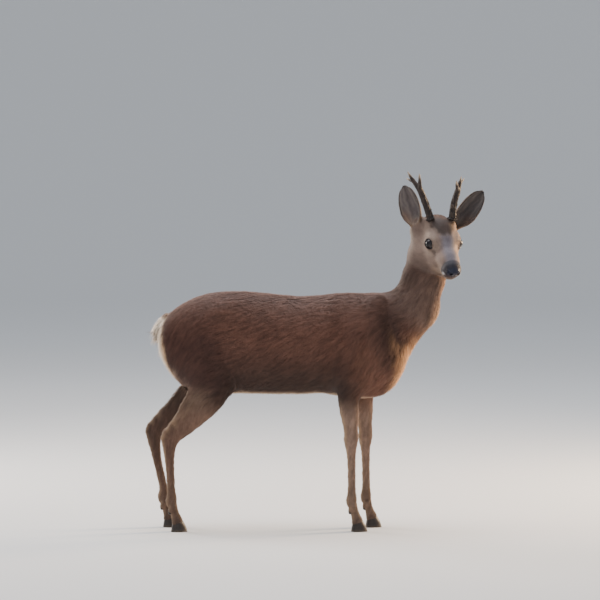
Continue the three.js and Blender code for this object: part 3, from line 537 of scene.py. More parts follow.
def nets(fn, xs, ys, zs, coarse=5, reach=1.0, push=2):
    """Closed surface of fn = 0 on a graded grid: corners in cells, joined across cut edges. Returns points and quads."""
    n = (len(xs), len(ys), len(zs))
    F = np.full(n, 1e3, np.float32)
    ix = [np.unique(np.r_[np.arange(0, m, coarse), m - 1]) for m in n]
    G = np.stack(np.meshgrid(xs[ix[0]], ys[ix[1]], zs[ix[2]], indexing="ij"), -1).reshape(-1, 3)
    C = fn(G).reshape([len(i) for i in ix])
    todo = []
    for a in range(len(ix[0]) - 1):
        for b in range(len(ix[1]) - 1):
            lo = np.array([xs[ix[0][a]], ys[ix[1][b]]])
            for c in range(len(ix[2]) - 1):
                v = C[a:a + 2, b:b + 2, c:c + 2]
                size = math.sqrt((xs[ix[0][a + 1]] - lo[0]) ** 2 + (ys[ix[1][b + 1]] - lo[1]) ** 2 + (zs[ix[2][c + 1]] - zs[ix[2][c]]) ** 2)
                m = np.abs(v).min()
                sl = (slice(ix[0][a], ix[0][a + 1] + 1), slice(ix[1][b], ix[1][b + 1] + 1), slice(ix[2][c], ix[2][c + 1] + 1))
                if m < size * 0.75 * reach or (v.min() < 0 < v.max()):
                    todo.append(sl)
                elif v.max() < 0:
                    F[sl] = -1e3
    need = np.zeros(n, bool)
    for sl in todo:
        need[sl] = True
    I = np.argwhere(need)
    P = np.stack([xs[I[:, 0]], ys[I[:, 1]], zs[I[:, 2]]], 1)
    F[need] = fn(P)
    F[np.abs(F) < 1e-6] = 1e-6
    for a in (0, -1):
        F[a], F[:, a], F[:, :, a] = 1e3, 1e3, 1e3
    Sg = F < 0
    cs = np.zeros([m - 1 for m in n], np.int8)
    for i in (0, 1):
        for j in (0, 1):
            for k in (0, 1):
                cs += Sg[i:n[0] - 1 + i, j:n[1] - 1 + j, k:n[2] - 1 + k]
    act = (cs > 0) & (cs < 8)
    idx = np.full(act.shape, -1, np.int64)
    A = np.argwhere(act)
    idx[act] = np.arange(len(A))
    cor = [(0, 0, 0), (1, 0, 0), (0, 1, 0), (1, 1, 0), (0, 0, 1), (1, 0, 1), (0, 1, 1), (1, 1, 1)]
    val = [F[A[:, 0] + a, A[:, 1] + b, A[:, 2] + c] for a, b, c in cor]
    acc, cnt = np.zeros((len(A), 3)), np.zeros(len(A))
    for a in range(8):
        for b in range(a + 1, 8):
            d = np.array(cor[b]) - np.array(cor[a])
            if np.abs(d).sum() != 1:
                continue
            m = (val[a] < 0) != (val[b] < 0)
            t = np.where(m, val[a] / np.where(m, val[a] - val[b], 1), 0)
            acc += np.where(m[:, None], np.array(cor[a]) + t[:, None] * d, 0)
            cnt += m
    acc /= cnt[:, None]
    ax = (xs, ys, zs)
    V = np.stack([ax[c][A[:, c]] * (1 - acc[:, c]) + ax[c][A[:, c] + 1] * acc[:, c] for c in range(3)], 1)
    cell = np.stack([ax[c][A[:, c] + 1] - ax[c][A[:, c]] for c in range(3)], 1)
    quads = []
    for a in range(3):
        o = [q for q in range(3) if q != a]
        s0, s1 = [slice(None)] * 3, [slice(None)] * 3
        s0[a], s1[a] = slice(0, -1), slice(1, None)
        q0, q1 = Sg[tuple(s0)], Sg[tuple(s1)]
        Ed = np.argwhere(q0 != q1)
        flip = q0[tuple(Ed.T)]

        def at(da, db):
            Cc = Ed.copy()
            Cc[:, o[0]] -= da
            Cc[:, o[1]] -= db
            return idx[tuple(Cc.T)]
        q = np.stack([at(1, 1), at(0, 1), at(0, 0), at(1, 0)], 1)
        if a == 1:
            flip = ~flip
        quads.append(np.where(flip[:, None], q, q[:, ::-1]))
    for _ in range(push):
        f, g = fn(V), gradient(fn, V)
        gg = np.maximum((g * g).sum(1), 0.05)
        step = np.clip(f[:, None] * g / gg[:, None] / cell, -0.35, 0.35) * cell
        V = V - step
    return V, np.concatenate(quads)

# ---------------------------------------------------------------- antlers, claws and eyes
def noise(P, size, seed=0):
    """Smooth value noise, -1..1."""
    q = P / size
    i = np.floor(q).astype(np.int64)
    f = q - i
    f = f * f * (3 - 2 * f)
    out = 0
    for a in (0, 1):
        for b in (0, 1):
            for c in (0, 1):
                h = ((i[:, 0] + a) * 73856093) ^ ((i[:, 1] + b) * 19349663) ^ ((i[:, 2] + c) * 83492791) ^ (seed * 2654435761 + 12345)
                h = (h ^ (h >> 13)) * 1274126177 & 0x7FFFFFFF
                h = (h ^ (h >> 16)) & 0xFFFF
                w = (f[:, 0] if a else 1 - f[:, 0]) * (f[:, 1] if b else 1 - f[:, 1]) * (f[:, 2] if c else 1 - f[:, 2])
                out = out + w * (h / 32767.5 - 1)
    return out


ANTLERS = {
    "right": dict(
        beam=[[444, -50, 906, 9.5], [443, -51, 913, 9.7], [441, -52, 920, 10.2], [431, -57, 950, 9.6], [421, -61, 978, 9.3], [409, -63, 1005, 9.0], [396, -60, 1022, 6.6], [389, -57, 1032, 5.2]],
        tines=[[[411, -64, 1001, 6.0], [409, -73, 1018, 5.6], [408, -84, 1036, 3.9], [407, -91, 1051, 1.3]],
               [[389, -57, 1031, 5.2], [382, -58, 1042, 4.2], [374, -60, 1056, 1.2]],
               [[390, -54, 1029, 4.4], [381, -42, 1032, 3.6], [372, -30, 1036, 1.2]]],
        burr=[441.5, -51.5, 919]),
    "left": dict(
        beam=[[503, -30, 906, 9.5], [504, -31, 913, 9.7], [505, -32, 920, 10.2], [508, -37, 950, 9.8], [514, -41, 978, 9.2], [521, -42, 1001, 8.4], [525, -41, 1014, 6.2], [527, -40, 1024, 4.8]],
        tines=[[[521, -44, 998, 5.4], [519, -53, 1010, 5.0], [517, -66, 1020, 3.6], [516, -77, 1030, 1.2]],
               [[527, -40, 1023, 4.8], [529, -43, 1031, 3.6], [531, -46, 1042, 1.2]],
               [[527, -37, 1021, 4.2], [533, -25, 1027, 3.4], [540, -14, 1036, 1.2]]],
        burr=[504.8, -31.5, 919]),
}


def resample(st, per=4):
    st = [np.array(s, float) for s in st]
    at = lambda i: st[max(0, min(len(st) - 1, i))]
    out = []
    for i in range(len(st) - 1):
        p0, p1, p2, p3 = at(i - 1), at(i), at(i + 1), at(i + 2)
        for s in range(per):
            t = s / per
            out.append(0.5 * (2 * p1 + (p2 - p0) * t + (2 * p0 - 5 * p1 + 4 * p2 - p3) * t * t + (3 * p1 - p0 - 3 * p2 + p3) * t ** 3))
    return out + [st[-1]]


def rope(P, st):
    """Distance to a tapered tube, with how far along it, the angle round it and its radius there."""
    best = np.full(len(P), 1e3)
    along, rad = np.zeros(len(P)), np.ones(len(P))
    run = 0.0
    for a, b in zip(st[:-1], st[1:]):
        ab = b[:3] - a[:3]
        ll = ab @ ab
        t = np.clip((P - a[:3]) @ ab / ll, 0, 1)
        d = np.sqrt(((P - a[:3] - t[:, None] * ab) ** 2).sum(1)) - (a[3] + (b[3] - a[3]) * t)
        m = d < best
        best[m] = d[m]
        along[m] = (run + t * math.sqrt(ll))[m]
        rad[m] = (a[3] + (b[3] - a[3]) * t)[m]
        run += math.sqrt(ll)
    return best, along, rad, run


def antler(a):
    beam = resample(a["beam"])
    tines = [resample(t) for t in a["tines"]]
    B = np.array(a["burr"], float)
    d = np.array(a["beam"][3][:3], float) - np.array(a["beam"][1][:3], float)
    d /= np.linalg.norm(d)
    e1 = np.cross(d, [0, 1, 0.0])
    e1 /= np.linalg.norm(e1)
    e2 = np.cross(d, e1)

    def field(P):
        f, along, rad, run = rope(P, beam)
        for t in tines:
            g = rope(P, t)[0]
            f = smin(f, g, 3.5)
        # lengthwise furrows and pearls, strong low down and fading to smooth tips
        low = 1 - ramp(P[:, 2], 930, 1030)
        r = P - B
        ang = np.arctan2(r @ e2, r @ e1)
        h = r @ d
        swirl = ang + h * 0.012
        f = f + 0.55 * (0.25 + 0.75 * low) * np.sin(swirl * 9 + 1.3 * noise(P, 16.0, 3)) * (f < 4)
        pearl = noise(P * [1, 1, 0.75], 4.2, 7)
        f = f - (0.25 + 1.5 * low) * ramp(pearl, 0.05, 0.7) - 0.25 * noise(P, 2.4, 5)
        # burr: a crown of pearls
        rr = np.hypot(r @ e1, r @ e2)
        knob = 1.1 * np.cos(ang * 13 + 0.8 * np.sin(3 * ang)) + 1.2 * noise(P, 5.0, 11)
        ring = np.hypot(rr - 11.2, (h + 0.6 * np.sin(2 * ang)) * 1.25) - (3.3 + 0.7 * knob)
        return smin(f, ring, 2.2)

    pts = np.concatenate([np.array(a["beam"])] + [np.array(t) for t in a["tines"]])
    lo, hi = pts[:, :3].min(0) - 19, pts[:, :3].max(0) + 9
    lo[2] = 905
    g = 1.15
    return nets(field, axis(lo[0], (hi[0], g)), axis(lo[1], (hi[1], g)), axis(lo[2], (hi[2], g)), coarse=6, reach=1.6, push=1)


HOOF_LEN, HOOF_WIDE, HOOF_TOE_H, HOOF_HEEL_H, CLEFT, HOOF_TOP = 47.0, 17.6, 33.0, 20.0, 1.6, 0.62
OUTLINE = [[0.0, 0.2], [0.02, 0.7], [0.2, 1.0], [0.58, 0.94], [0.86, 0.56], [1.0, 0.14], [0.94, 0.0], [0.4, 0.02]]


def claw(x0, y0, outward):
    """One claw: its wall lofted from the sole's edge to the coronet, with growth rings."""
    st, pts, per = OUTLINE, [], 5
    n = len(st)
    for i in range(n):
        p0, p1, p2, p3 = [np.array(st[(i + k) % n]) for k in (-1, 0, 1, 2)]
        for s in range(per):
            t = s / per
            pts.append(0.5 * (2 * p1 + (p2 - p0) * t + (2 * p0 - 5 * p1 + 4 * p2 - p3) * t * t + (3 * p1 - p0 - 3 * p2 + p3) * t ** 3))
    pts = np.array(pts)
    pts[:, 1] = np.maximum(pts[:, 1], 0.0)
    levels = [(0, 0.955, 0.0), (0.03, 0.985, 0.02)] + [(h, float(np.interp(h, [0, 0.45, 1], [1.0, 0.86, HOOF_TOP])), h) for h in np.linspace(0.08, 1, 16)]
    V, c = [], pts.mean(0)
    for k, (h, l, s) in enumerate(levels):
        q = pts if k > 1 else c + (pts - c) * (0.94 if k == 0 else 0.985)
        x = 3.0 * s + HOOF_LEN * l * q[:, 0] if k > 1 else HOOF_LEN * q[:, 0]
        y = HOOF_WIDE * (q[:, 1] * (1 - 0.07 * s) + 0.01)
        ring = 0.16 * math.sin(h * 31) * ramp(np.array([h]), 0.1, 0.2)[0]
        x = x + ring * (q[:, 0] - 0.4)
        y = y + ring * np.clip(q[:, 1], 0, 1)
        top = HOOF_HEEL_H + (HOOF_TOE_H - HOOF_HEEL_H) * x / (HOOF_LEN * HOOF_TOP)
        V.append(np.stack([x0 + x, y0 + outward * y, h * top], 1))
    m = len(pts)
    # sole: a shallow cup with a rounded edge, so that it rests on its rim
    sole = [V[0], c_ring(V[0], 0.82, 0.0), c_ring(V[0], 0.55, 0.7)]
    top = V[-1]
    cap = [c_ring(top, 0.7, 1.2), c_ring(top, 0.3, 1.6)]
    rings = [sole[2], sole[1]] + V + cap
    P = np.concatenate(rings + [sole[2].mean(0)[None] + [[0, 0, 0.3]], cap[1].mean(0)[None]])
    F = []
    for r in range(len(rings) - 1):
        for i in range(m):
            a, b = r * m + i, r * m + (i + 1) % m
            F.append((a, b, b + m, a + m))
    lo, hi = len(rings) * m, len(rings) * m + 1
    for i in range(m):
        F.append((lo, (i + 1) % m, i))
        F.append((hi, (len(rings) - 1) * m + i, (len(rings) - 1) * m + (i + 1) % m))
    if outward > 0:
        F = [f[::-1] for f in F]
    return P, F


def c_ring(R, k, lift):
    c = R.mean(0)
    Q = c + (R - c) * k
    Q[:, 2] = R[:, 2] * k + c[2] * (1 - k) + lift
    return Q


def dewclaw(c, side):
    """A small blunt cone, flattened against the pastern."""
    P, F, n, m = [], [], 22, 9
    for j in range(m + 1):
        t = j / m
        a = math.pi * t
        r = math.sin(a) ** 0.8 if 0 < j < m else 0.0
        z = -math.cos(a)
        bend = -1.6 * (1 - t)
        for i in range(n):
            b = 2 * math.pi * i / n
            k = 1 + 0.02 * math.sin(14 * t)
            P.append([c[0] + bend + 6.3 * r * math.cos(b) * (0.8 + 0.2 * t) * k, c[1] + 4.8 * r * math.sin(b) * k, c[2] + 8.8 * z])
    for j in range(m):
        for i in range(n):
            a, b = j * n + i, j * n + (i + 1) % n
            F.append((a, b, b + n, a + n))
    return np.array(P), F


def eyeball(e):
    """A ball with a raised cornea; its pole looks out of the lids."""
    P, F, n, m = [], [], 64, 40
    side = np.cross(e["n"], [0, 0, 1.0])
    side /= np.linalg.norm(side)
    up = np.cross(side, e["n"])
    for j in range(m + 1):
        a = math.pi * j / m
        r = (EYE_R - 0.15) * (1 + 0.050 * math.exp(-(a / 0.62) ** 4))
        for i in range(n):
            b = 2 * math.pi * i / n
            P.append(e["c"] + r * (math.cos(a) * e["n"] + math.sin(a) * (math.cos(b) * e["f"] + math.sin(b) * np.cross(e["n"], e["f"]))))
    for j in range(m):
        for i in range(n):
            a, b = j * n + i, j * n + (i + 1) % n
            F.append((a, a + n, b + n, b))
    return to_body(np.array(P)), F

# ---------------------------------------------------------------- markings and the lie of the coat
def rgb(r, g, b):
    c = np.array([r, g, b], float) / 255
    return np.where(c <= 0.04045, c / 12.92, ((c + 0.055) / 1.055) ** 2.4)


def mix(a, b, t):
    return a + (b - a) * np.asarray(t)[:, None]


def zones(P, N):
    """Where each point is: the shares of head, ears and neck, and the height up the barrel."""
    Q = to_head(P)
    z = {"Q": Q, "u": Q[:, 0], "v": Q[:, 1], "w": Q[:, 2]}
    z["head"] = ramp(Q[:, 2], -104, -72) * ramp(P[:, 2], 742, 764) * ramp(Q[:, 0], -128, -96)
    ears = []
    for e in EARS:
        t, v, hgt = ear_coords(e, P)[:3]
        near = (np.abs(hgt) < 9) & (np.abs(v) < 1.35) & (t < 1.05)
        ears.append((np.where(near, ramp(t, -0.06, 0.10), 0.0), t, v, hgt))
    z["ear"] = np.maximum(ears[0][0], ears[1][0])
    which = ears[0][0] >= ears[1][0]
    z["et"] = np.where(which, ears[0][1], ears[1][1])
    z["ev"] = np.where(which, ears[0][2], ears[1][2])
    z["eh"] = np.where(which, ears[0][3], ears[1][3])
    z["which"] = which
    top, bot = b_top(P[:, 0]), b_low(P[:, 0])
    z["s"] = (P[:, 2] - bot) / (top - bot)
    z["neck"] = ramp(P[:, 0] * 0.62 + P[:, 2] * 0.78, 700, 770) * (1 - z["head"])
    return z


def coat_colour(P, N, z):
    """The coat's own colour, linear, from named markings."""
    x, y, h = P.T
    Q, u, v, w, s = z["Q"], z["u"], z["v"], z["w"], z["s"]
    av = np.abs(v)
    n1 = noise(P, 46.0, 1)
    n2 = noise(P, 15.0, 2)
    c = np.tile(rgb(107, 71, 57), (len(P), 1))
    c = mix(c, rgb(91, 59, 47), ramp(n1, -0.2, 0.8) * 0.7)
    # a greyer saddle along the back and over the shoulder, redder on the flank
    c = mix(c, rgb(108, 79, 68), ramp(s, 0.62, 0.98) * 0.7)
    # painted shade: the lower barrel darker towards the belly, as if shaded from the light above
    c = mix(c, rgb(48, 33, 28), ramp(s, 0.60, 0.10) * 0.92 * (1 - ramp(x, 190, 290)))
    # painted shadow in front of the shoulder, at the base of the neck
    c = mix(c, rgb(54, 38, 33), bump(np.hypot(x - 330, (h - 590) * 0.6), 56) * 0.8 * ramp(np.abs(y), 20, 50))
    c = mix(c, rgb(104, 69, 53), bump(np.hypot(x - 252, (h - 500) * 0.55), 34) * 0.55)      # painted light on the upper arm's bulge, lifting it out of the painted shade below
    # belly, groin and the insides of the legs
    under = ramp(-N[:, 2], 0.66, 0.97) * (h > 330)
    c = mix(c, rgb(196, 170, 142), under * ramp(s, 0.10, 0.0) * ramp(-N[:, 2], 0.80, 0.99) * 0.9)
    inner = ramp(-N[:, 1] * np.sign(y), 0.5, 0.95) * ramp(h, 230, 300) * (1 - ramp(h, 500, 560)) * (x < 320)
    c = mix(c, rgb(176, 146, 118), inner * (0.05 + 0.40 * ramp(h, 430, 490)) * (1 - ramp(x, -225, -275)))
    # painted shade on the inner side of the far hind leg
    c = mix(c, rgb(58, 42, 35), inner * (y > 0) * (x < 0) * (1 - ramp(h, 380, 440)) * 0.7)
    # haunch and gaskin, a shade darker
    c = mix(c, rgb(70, 43, 36), ramp(x, -110, -230) * ramp(h, 680, 560) * ramp(h, 380, 440) * 0.8)
    # pale rump
    rump = rump_patch(P, N)
    c = mix(c, rgb(216, 184, 148), rump)
    c = mix(c, rgb(236, 222, 202), ramp(rump, 0.6, 1.0) * ramp(np.abs(y), 58, 34))
    # painted rim light: the rear edge of the thigh pale
    c = mix(c, rgb(196, 166, 140), ramp(-N[:, 0] + 0.08 * n2, 0.45, 0.9) * ramp(x, -230, -275) * ramp(h, 300, 400) * (1 - ramp(h, 480, 520)) * 0.7)
    # painted light: the lower thigh and gaskin lighter
    c = mix(c, rgb(128, 104, 86), ramp(x, -170, -230) * (1 - ramp(h, 400, 450)) * ramp(h, 280, 330) * 0.6)
    # neck greyer above; painted warm light on the breast and front of the neck
    c = mix(c, rgb(106, 85, 75), z["neck"] * 0.8)
    front = ramp(N[:, 0], 0.5, 0.95) * ramp(x, 300, 360) * (1 - z["head"])
    c = mix(c, rgb(200, 154, 114), front * ramp(h, 372, 420) * (0.70 - 0.52 * ramp(h, 620, 730)))
    # painted warm light along the breast's front edge
    c = mix(c, rgb(216, 160, 108), ramp(N[:, 0] + 0.10 * noise(P, 14.0, 57), 0.30, 0.92) * ramp(x, 312, 356) * (1 - ramp(h, 540, 640)) * 0.8)
    # legs: tan, browner down the front, greyer low down
    lg = 1 - ramp(h, 330, 420)
    c = mix(c, rgb(150, 124, 108), lg * 0.85 * (x > 0))
    c = mix(c, rgb(118, 88, 73), lg * 0.8 * (x < 0) * np.where(y > 0, 1.0, 0.9))
    c = mix(c, rgb(104, 80, 66), lg * ramp(N[:, 0], 0.2, 0.8) * 0.45)
    c = mix(c, rgb(190, 158, 124), lg * ramp(-N[:, 0], 0.25, 0.85) * 0.6)
    c = mix(c, rgb(112, 92, 78), (1 - ramp(h, 60, 230)) * 0.5)
    c = mix(c, rgb(70, 56, 48), (1 - ramp(h, 30, 52)) * 0.6)
    far_leg_shade = (y > 0) * (x < 0) * ramp(-N[:, 1], 0.1, 0.6) * ramp(h, 130, 240) * (1 - ramp(h, 400, 460))
    c = mix(c, rgb(56, 41, 34), far_leg_shade * 0.55)                                   # painted shade on the inner side of the far hind leg
    # ---------------------------------------- head
    f = np.tile(rgb(133, 112, 100), (len(P), 1))                                        # cheek
    f = mix(f, rgb(150, 137, 134), ramp(u, 6, 40) * ramp(w, 0, -14) * (1 - ramp(w, -76, -60)) * 0.9)    # greyer side of the muzzle
    f = mix(f, rgb(122, 116, 123), ramp(w, -26, -4) * ramp(u, -4, 30) * (1 - ramp(av + 3 * noise(P, 9.0, 55), 8, 26)) * 0.9)  # grey bridge with a painted bluish sky highlight
    f = mix(f, rgb(130, 111, 98), ramp(w, 4, 24) * (1 - ramp(u, -6, 14)) * ramp(av, 8, 20) * 0.8)   # tan sides of the forehead
    nz = noise(P, 12.0, 54)
    nf = noise(P, 5.0, 59)
    half = 34 - 24 * ramp(u, -32, 34) + 5 * nz + 2.5 * nf
    crown = ramp(w + 5 * nz, 8, 26) * (1 - ramp(u + 8 * nz + 4 * nf, 4, 36)) * ramp(av, half + 5, half - 7)
    f = mix(f, rgb(50, 35, 29), crown * 0.92)                                           # dark crown
    f = mix(f, rgb(128, 86, 56), ramp(u + 6 * nz, -36, -54) * ramp(w, 34, 46) * 0.45 * (0.6 + 0.4 * nf))           # foxy poll
    f = mix(f, rgb(106, 86, 76), ramp(w, -44, -74) * 0.75)                                # browner towards the jaw
    f = mix(f, rgb(104, 82, 71), ramp(u, -36, -72) * (1 - ramp(w, 20, 40)) * 0.85)       # back of the cheek into the neck
    # rings round the eyes, dark tear line
    for e in EYES:
        o, es, et, r = eye_open(e, Q)
        near = (np.sqrt(((Q - e["c"]) ** 2).sum(1)) < 40) & (r > -6)
        f = mix(f, rgb(170, 150, 134), near * bump(o - 7.0, 4.0) * ramp(et, -4, 4) * 0.5)
        f = mix(f, rgb(160, 140, 124), near * bump(o - 6.5, 3.6) * ramp(-et, 0, 6) * 0.4)
        f = mix(f, rgb(38, 31, 32), near * (1 - ramp(o, 0.5, 2.6)) * 0.9)
    tl = np.clip((u - 16) / 26, 0, 1)
    f = mix(f, rgb(70, 56, 52), bump(np.hypot(u - (22 + 18 * tl), w - (-3 - 9 * tl)), 3.4) * ramp(av, 16, 24) * 0.4)
    # muzzle: dark band from the nose round the lips, white beside the nose and on the chin
    mh = mouth_height(u)
    band = ramp(u + 3 * ramp(av, 12, 22) + 1.2 * nf, 90, 97) * ramp(w, mh - 1, mh + 2)
    # dark muzzle band, its blue tint a painted sky reflection
    f = mix(f, rgb(39, 39, 48), band * 0.94)
    spot = bump(np.hypot(u - 108, (w - (mh + 5.5)) * 1.2), 5.0) * ramp(av, 10, 15)
    f = mix(f, rgb(196, 190, 188), np.clip(spot * 1.2, 0, 0.9))
    chin = ramp(u, 74, 92) * (1 - ramp(w, mh - 3.5, mh - 1.0))
    f = mix(f, rgb(214, 200, 184), chin * 0.9)
    f = mix(f, rgb(54, 44, 44), ramp(u, 88, 98) * bump(w - mh, 2.0) * 0.8)
    f = mix(f, rgb(150, 128, 110), ramp(u, 30, 64) * (1 - ramp(w, -46, -34)) * (1 - ramp(u, 74, 88)) * 0.7)   # pale under the jaw
    # throat: painted shadow under the jaw, painted warm light on the face's far side
    th = ramp(w, -74, -86) * ramp(u, -60, -30)
    # painted shadow under the jaw
    f = mix(f, rgb(78, 57, 47), th * (1 - ramp(u, 30, 60)) * 0.8)
    # painted warm light on the far side of the face
    f = mix(f, rgb(186, 134, 88), ramp(N[:, 0], 0.5, 0.95) * ramp(v, 6, 24) * (1 - ramp(u, 80, 96)) * 0.40)
    c = mix(c, f, z["head"])
    # below the jaw: painted shade, and painted warm light on the front of the throat
    c = mix(c, rgb(62, 44, 36), bump(np.hypot((u - 2) / 1.8, w + 104), 20) * 0.7)     # painted shade under the jaw
    # painted warm light on the front of the throat
    c = mix(c, rgb(200, 142, 96), bump(np.hypot(u - 8, (w + 118) * 0.8), 26) * ramp(N[:, 0], 0.6, 0.98) * 0.6)
    c = mix(c, rgb(212, 196, 180), ramp(-N[:, 0] + 0.2 * n2, 0.25, 0.8) * bump(np.hypot(P[:, 0] - 382, (h - 872) * 0.55), 16) * ramp(y, 18, 0) * 0.62)     # pale hair below the right ear, brightened by painted rim light on this side only
    # ---------------------------------------- ears
    t, ev, eh = z["et"], z["ev"], z["eh"]
    inside = ramp(eh, -0.3, 0.8)
    e = np.tile(rgb(104, 84, 72), (len(P), 1))
    e = mix(e, rgb(78, 62, 54), ramp(t, 0.45, 0.95) * 0.8)
    streak = 0.5 + 0.5 * np.sin(ev * 15 + 2 * noise(P, 14.0, 9))
    ins = mix(np.tile(rgb(112, 103, 101), (len(P), 1)), rgb(152, 140, 131), streak * 0.55)
    ins = mix(ins, rgb(66, 57, 59), bump(ev, 0.30) * ramp(t, 0.1, 0.35) * 0.6)
    ins = mix(ins, rgb(150, 112, 86), ramp(ev * np.where(z["which"], -1, 1), -0.1, 0.7) * (1 - ramp(t, 0.15, 0.5)) * 0.6)
    ins = mix(ins, rgb(166, 146, 128), (1 - ramp(t, 0.02, 0.26)) * 0.7)
    ins = ins * np.where(z["which"], 1.0, 0.62)[:, None]      # painted shade: the inside of the turned-away ear darkened
    e = mix(e, ins, inside)
    rim = ramp(np.abs(ev), 0.84, 0.95) * ramp(t, 0.12, 0.35)
    rim = np.maximum(rim, ramp(t + 0.06 * ev ** 2, 0.955, 1.0))
    e = mix(e, rgb(38, 31, 30), rim * inside * 0.9)
    # painted rim light: a pale rim on the ear's outer side
    e = mix(e, rgb(150, 130, 114), rim * (1 - inside) * 0.75)
    e = mix(e, rgb(176, 146, 112), (1 - ramp(t, 0.0, 0.22)) * (1 - inside) * 0.5)
    c = mix(c, e, z["ear"])
    return c * (1 + 0.08 * n2)[:, None]


def rump_patch(P, N):
    """The pale patch round the tail: two lobes that meet above, open below."""
    x, y, h = P.T
    far = np.hypot(np.abs(y) / 66, (h - 544) / 102) + 0.07 * noise(P, 17.0, 51) + 0.05 * noise(P, 8.0, 52)
    far = far + 0.35 * bump(y, 15) * ramp(h, 490, 440)                       # the notch below
    return ramp(-N[:, 0], -0.05, 0.30) * ramp(x, -292, -324) * ramp(far, 1.10, 0.84)


def along_hair(P, D, size, seed, reach=3, step=6.0):
    """Noise drawn out along the lie of the hair into streaks."""
    t = sum(noise(P + D * (k * step), size, seed) for k in range(-reach, reach + 1))
    return t / (t.std() + 1e-9)


def bare(P, N, z):
    """1 on the nose pad and the rims of the lids, where no hair grows; also the nose pad alone."""
    u, v, w, Q = z["u"], z["v"], z["w"], z["Q"]
    av = np.abs(v)
    mh = mouth_height(u)
    edge = 112.5 + 0.012 * (av - 3) ** 2 + 2.5 * ramp(av, 14, 20)
    nose = ramp(u, edge - 1.2, edge + 1.2) * ramp(w, mh + 0.4, mh + 2.4) * (1 - ramp(w - (-2.5 - 0.02 * av ** 2), -1.5, 1.5)) * z["head"]
    lip = bump(w - mh, 1.5) * ramp(u, 62, 80) * z["head"]
    lids = np.zeros(len(P))
    for e in EYES:
        o, s, t, r = eye_open(e, Q)
        rr = np.sqrt(((Q - e["c"]) ** 2).sum(1))
        lids = np.maximum(lids, (rr < 23) * (1 - ramp(o, 1.1, 1.9)))
    return np.clip(np.maximum(nose, lids), 0, 1), nose, lids, lip


def hair_lie(P, N, z):
    """The way the hair points, along the surface."""
    x, y, h = P.T
    D = np.zeros_like(P)
    D[:, 0] = -1.0
    D[:, 2] = -0.24
    s = z["s"]
    D[:, 2] -= 0.46 * ramp(s, 0.95, 0.4) * ramp(x, -330, 60)                  # down the ribs
    D[:, 2] -= 0.9 * bump(x - 268, 62) * ramp(h, 640, 560)                    # shoulder and upper arm
    D[:, 2] -= 1.7 * ramp(x, -180, -330) * ramp(h, 690, 560)                  # haunch
    D[:, 1] += 0.30 * np.clip(y / 22, -1, 1) * ramp(N[:, 2], 0.5, 0.95) * ramp(h, 590, 630)       # falls off the spine to both sides
    D[:, 0] += 0.55 * ramp(x, -318, -352)
    nk = z["neck"][:, None]
    D = D * (1 - nk) + np.array([-0.62, 0, -0.86]) * nk
    front = (ramp(N[:, 0], 0.2, 0.8) * ramp(x, 300, 350) * (1 - z["head"]))[:, None]
    D = D * (1 - front) + np.array([-0.15, 0, -1.0]) * front
    lg = (1 - ramp(h, 330, 430))[:, None]
    D = D * (1 - lg) + np.array([-0.22, 0, -1.0]) * lg
    # head: back from the nose, down over the cheeks, up over the brow
    u, v, w = z["u"], z["v"], z["w"]
    Hd = np.zeros_like(P)
    Hd[:, 0] = -1.0
    Hd[:, 1] = 0.35 * np.sign(v) * ramp(np.abs(v), 0, 14) * ramp(w, -10, 20)
    Hd[:, 2] = -0.35 * ramp(w, 0, -30) + 0.25 * ramp(w, 0, 26)
    for e in EYES:
        d = z["Q"] - e["c"]
        k = np.exp(-((d ** 2).sum(1)) / 26.0 ** 2)[:, None]
        rad = d - (d @ e["n"])[:, None] * e["n"]
        rad /= np.linalg.norm(rad, axis=1, keepdims=True) + 1e-6
        Hd = Hd * (1 - 0.55 * k) + rad * 0.55 * k
    Hd = Hd @ HM
    hw = z["head"][:, None]
    D = D * (1 - hw) + Hd * hw
    for i, e in enumerate(EARS):
        m = (z["ear"] * (z["which"] if i == 0 else ~z["which"]))[:, None]
        side = np.sign(z["ev"])[:, None]
        av = np.abs(z["ev"])[:, None]
        ins = ramp(z["eh"], -0.3, 0.8)[:, None]
        out = e["A"] - e["W"] * side * (0.55 * ramp(av, 0.80, 1.0) * ins - 0.30 * ramp(av, 0.15, 0.6) * (1 - ramp(av, 0.6, 0.85)))
        out = out - e["W"] * side * 0.5 * ramp(z["et"], 0.86, 1.0)[:, None] * av
        D = D * (1 - m) + out * m
    D += 0.11 * np.stack([noise(P, 40.0, 21), noise(P, 40.0, 22), noise(P, 40.0, 23)], 1)
    D -= (D * N).sum(1)[:, None] * N
    return D / (np.linalg.norm(D, axis=1, keepdims=True) + 1e-9)


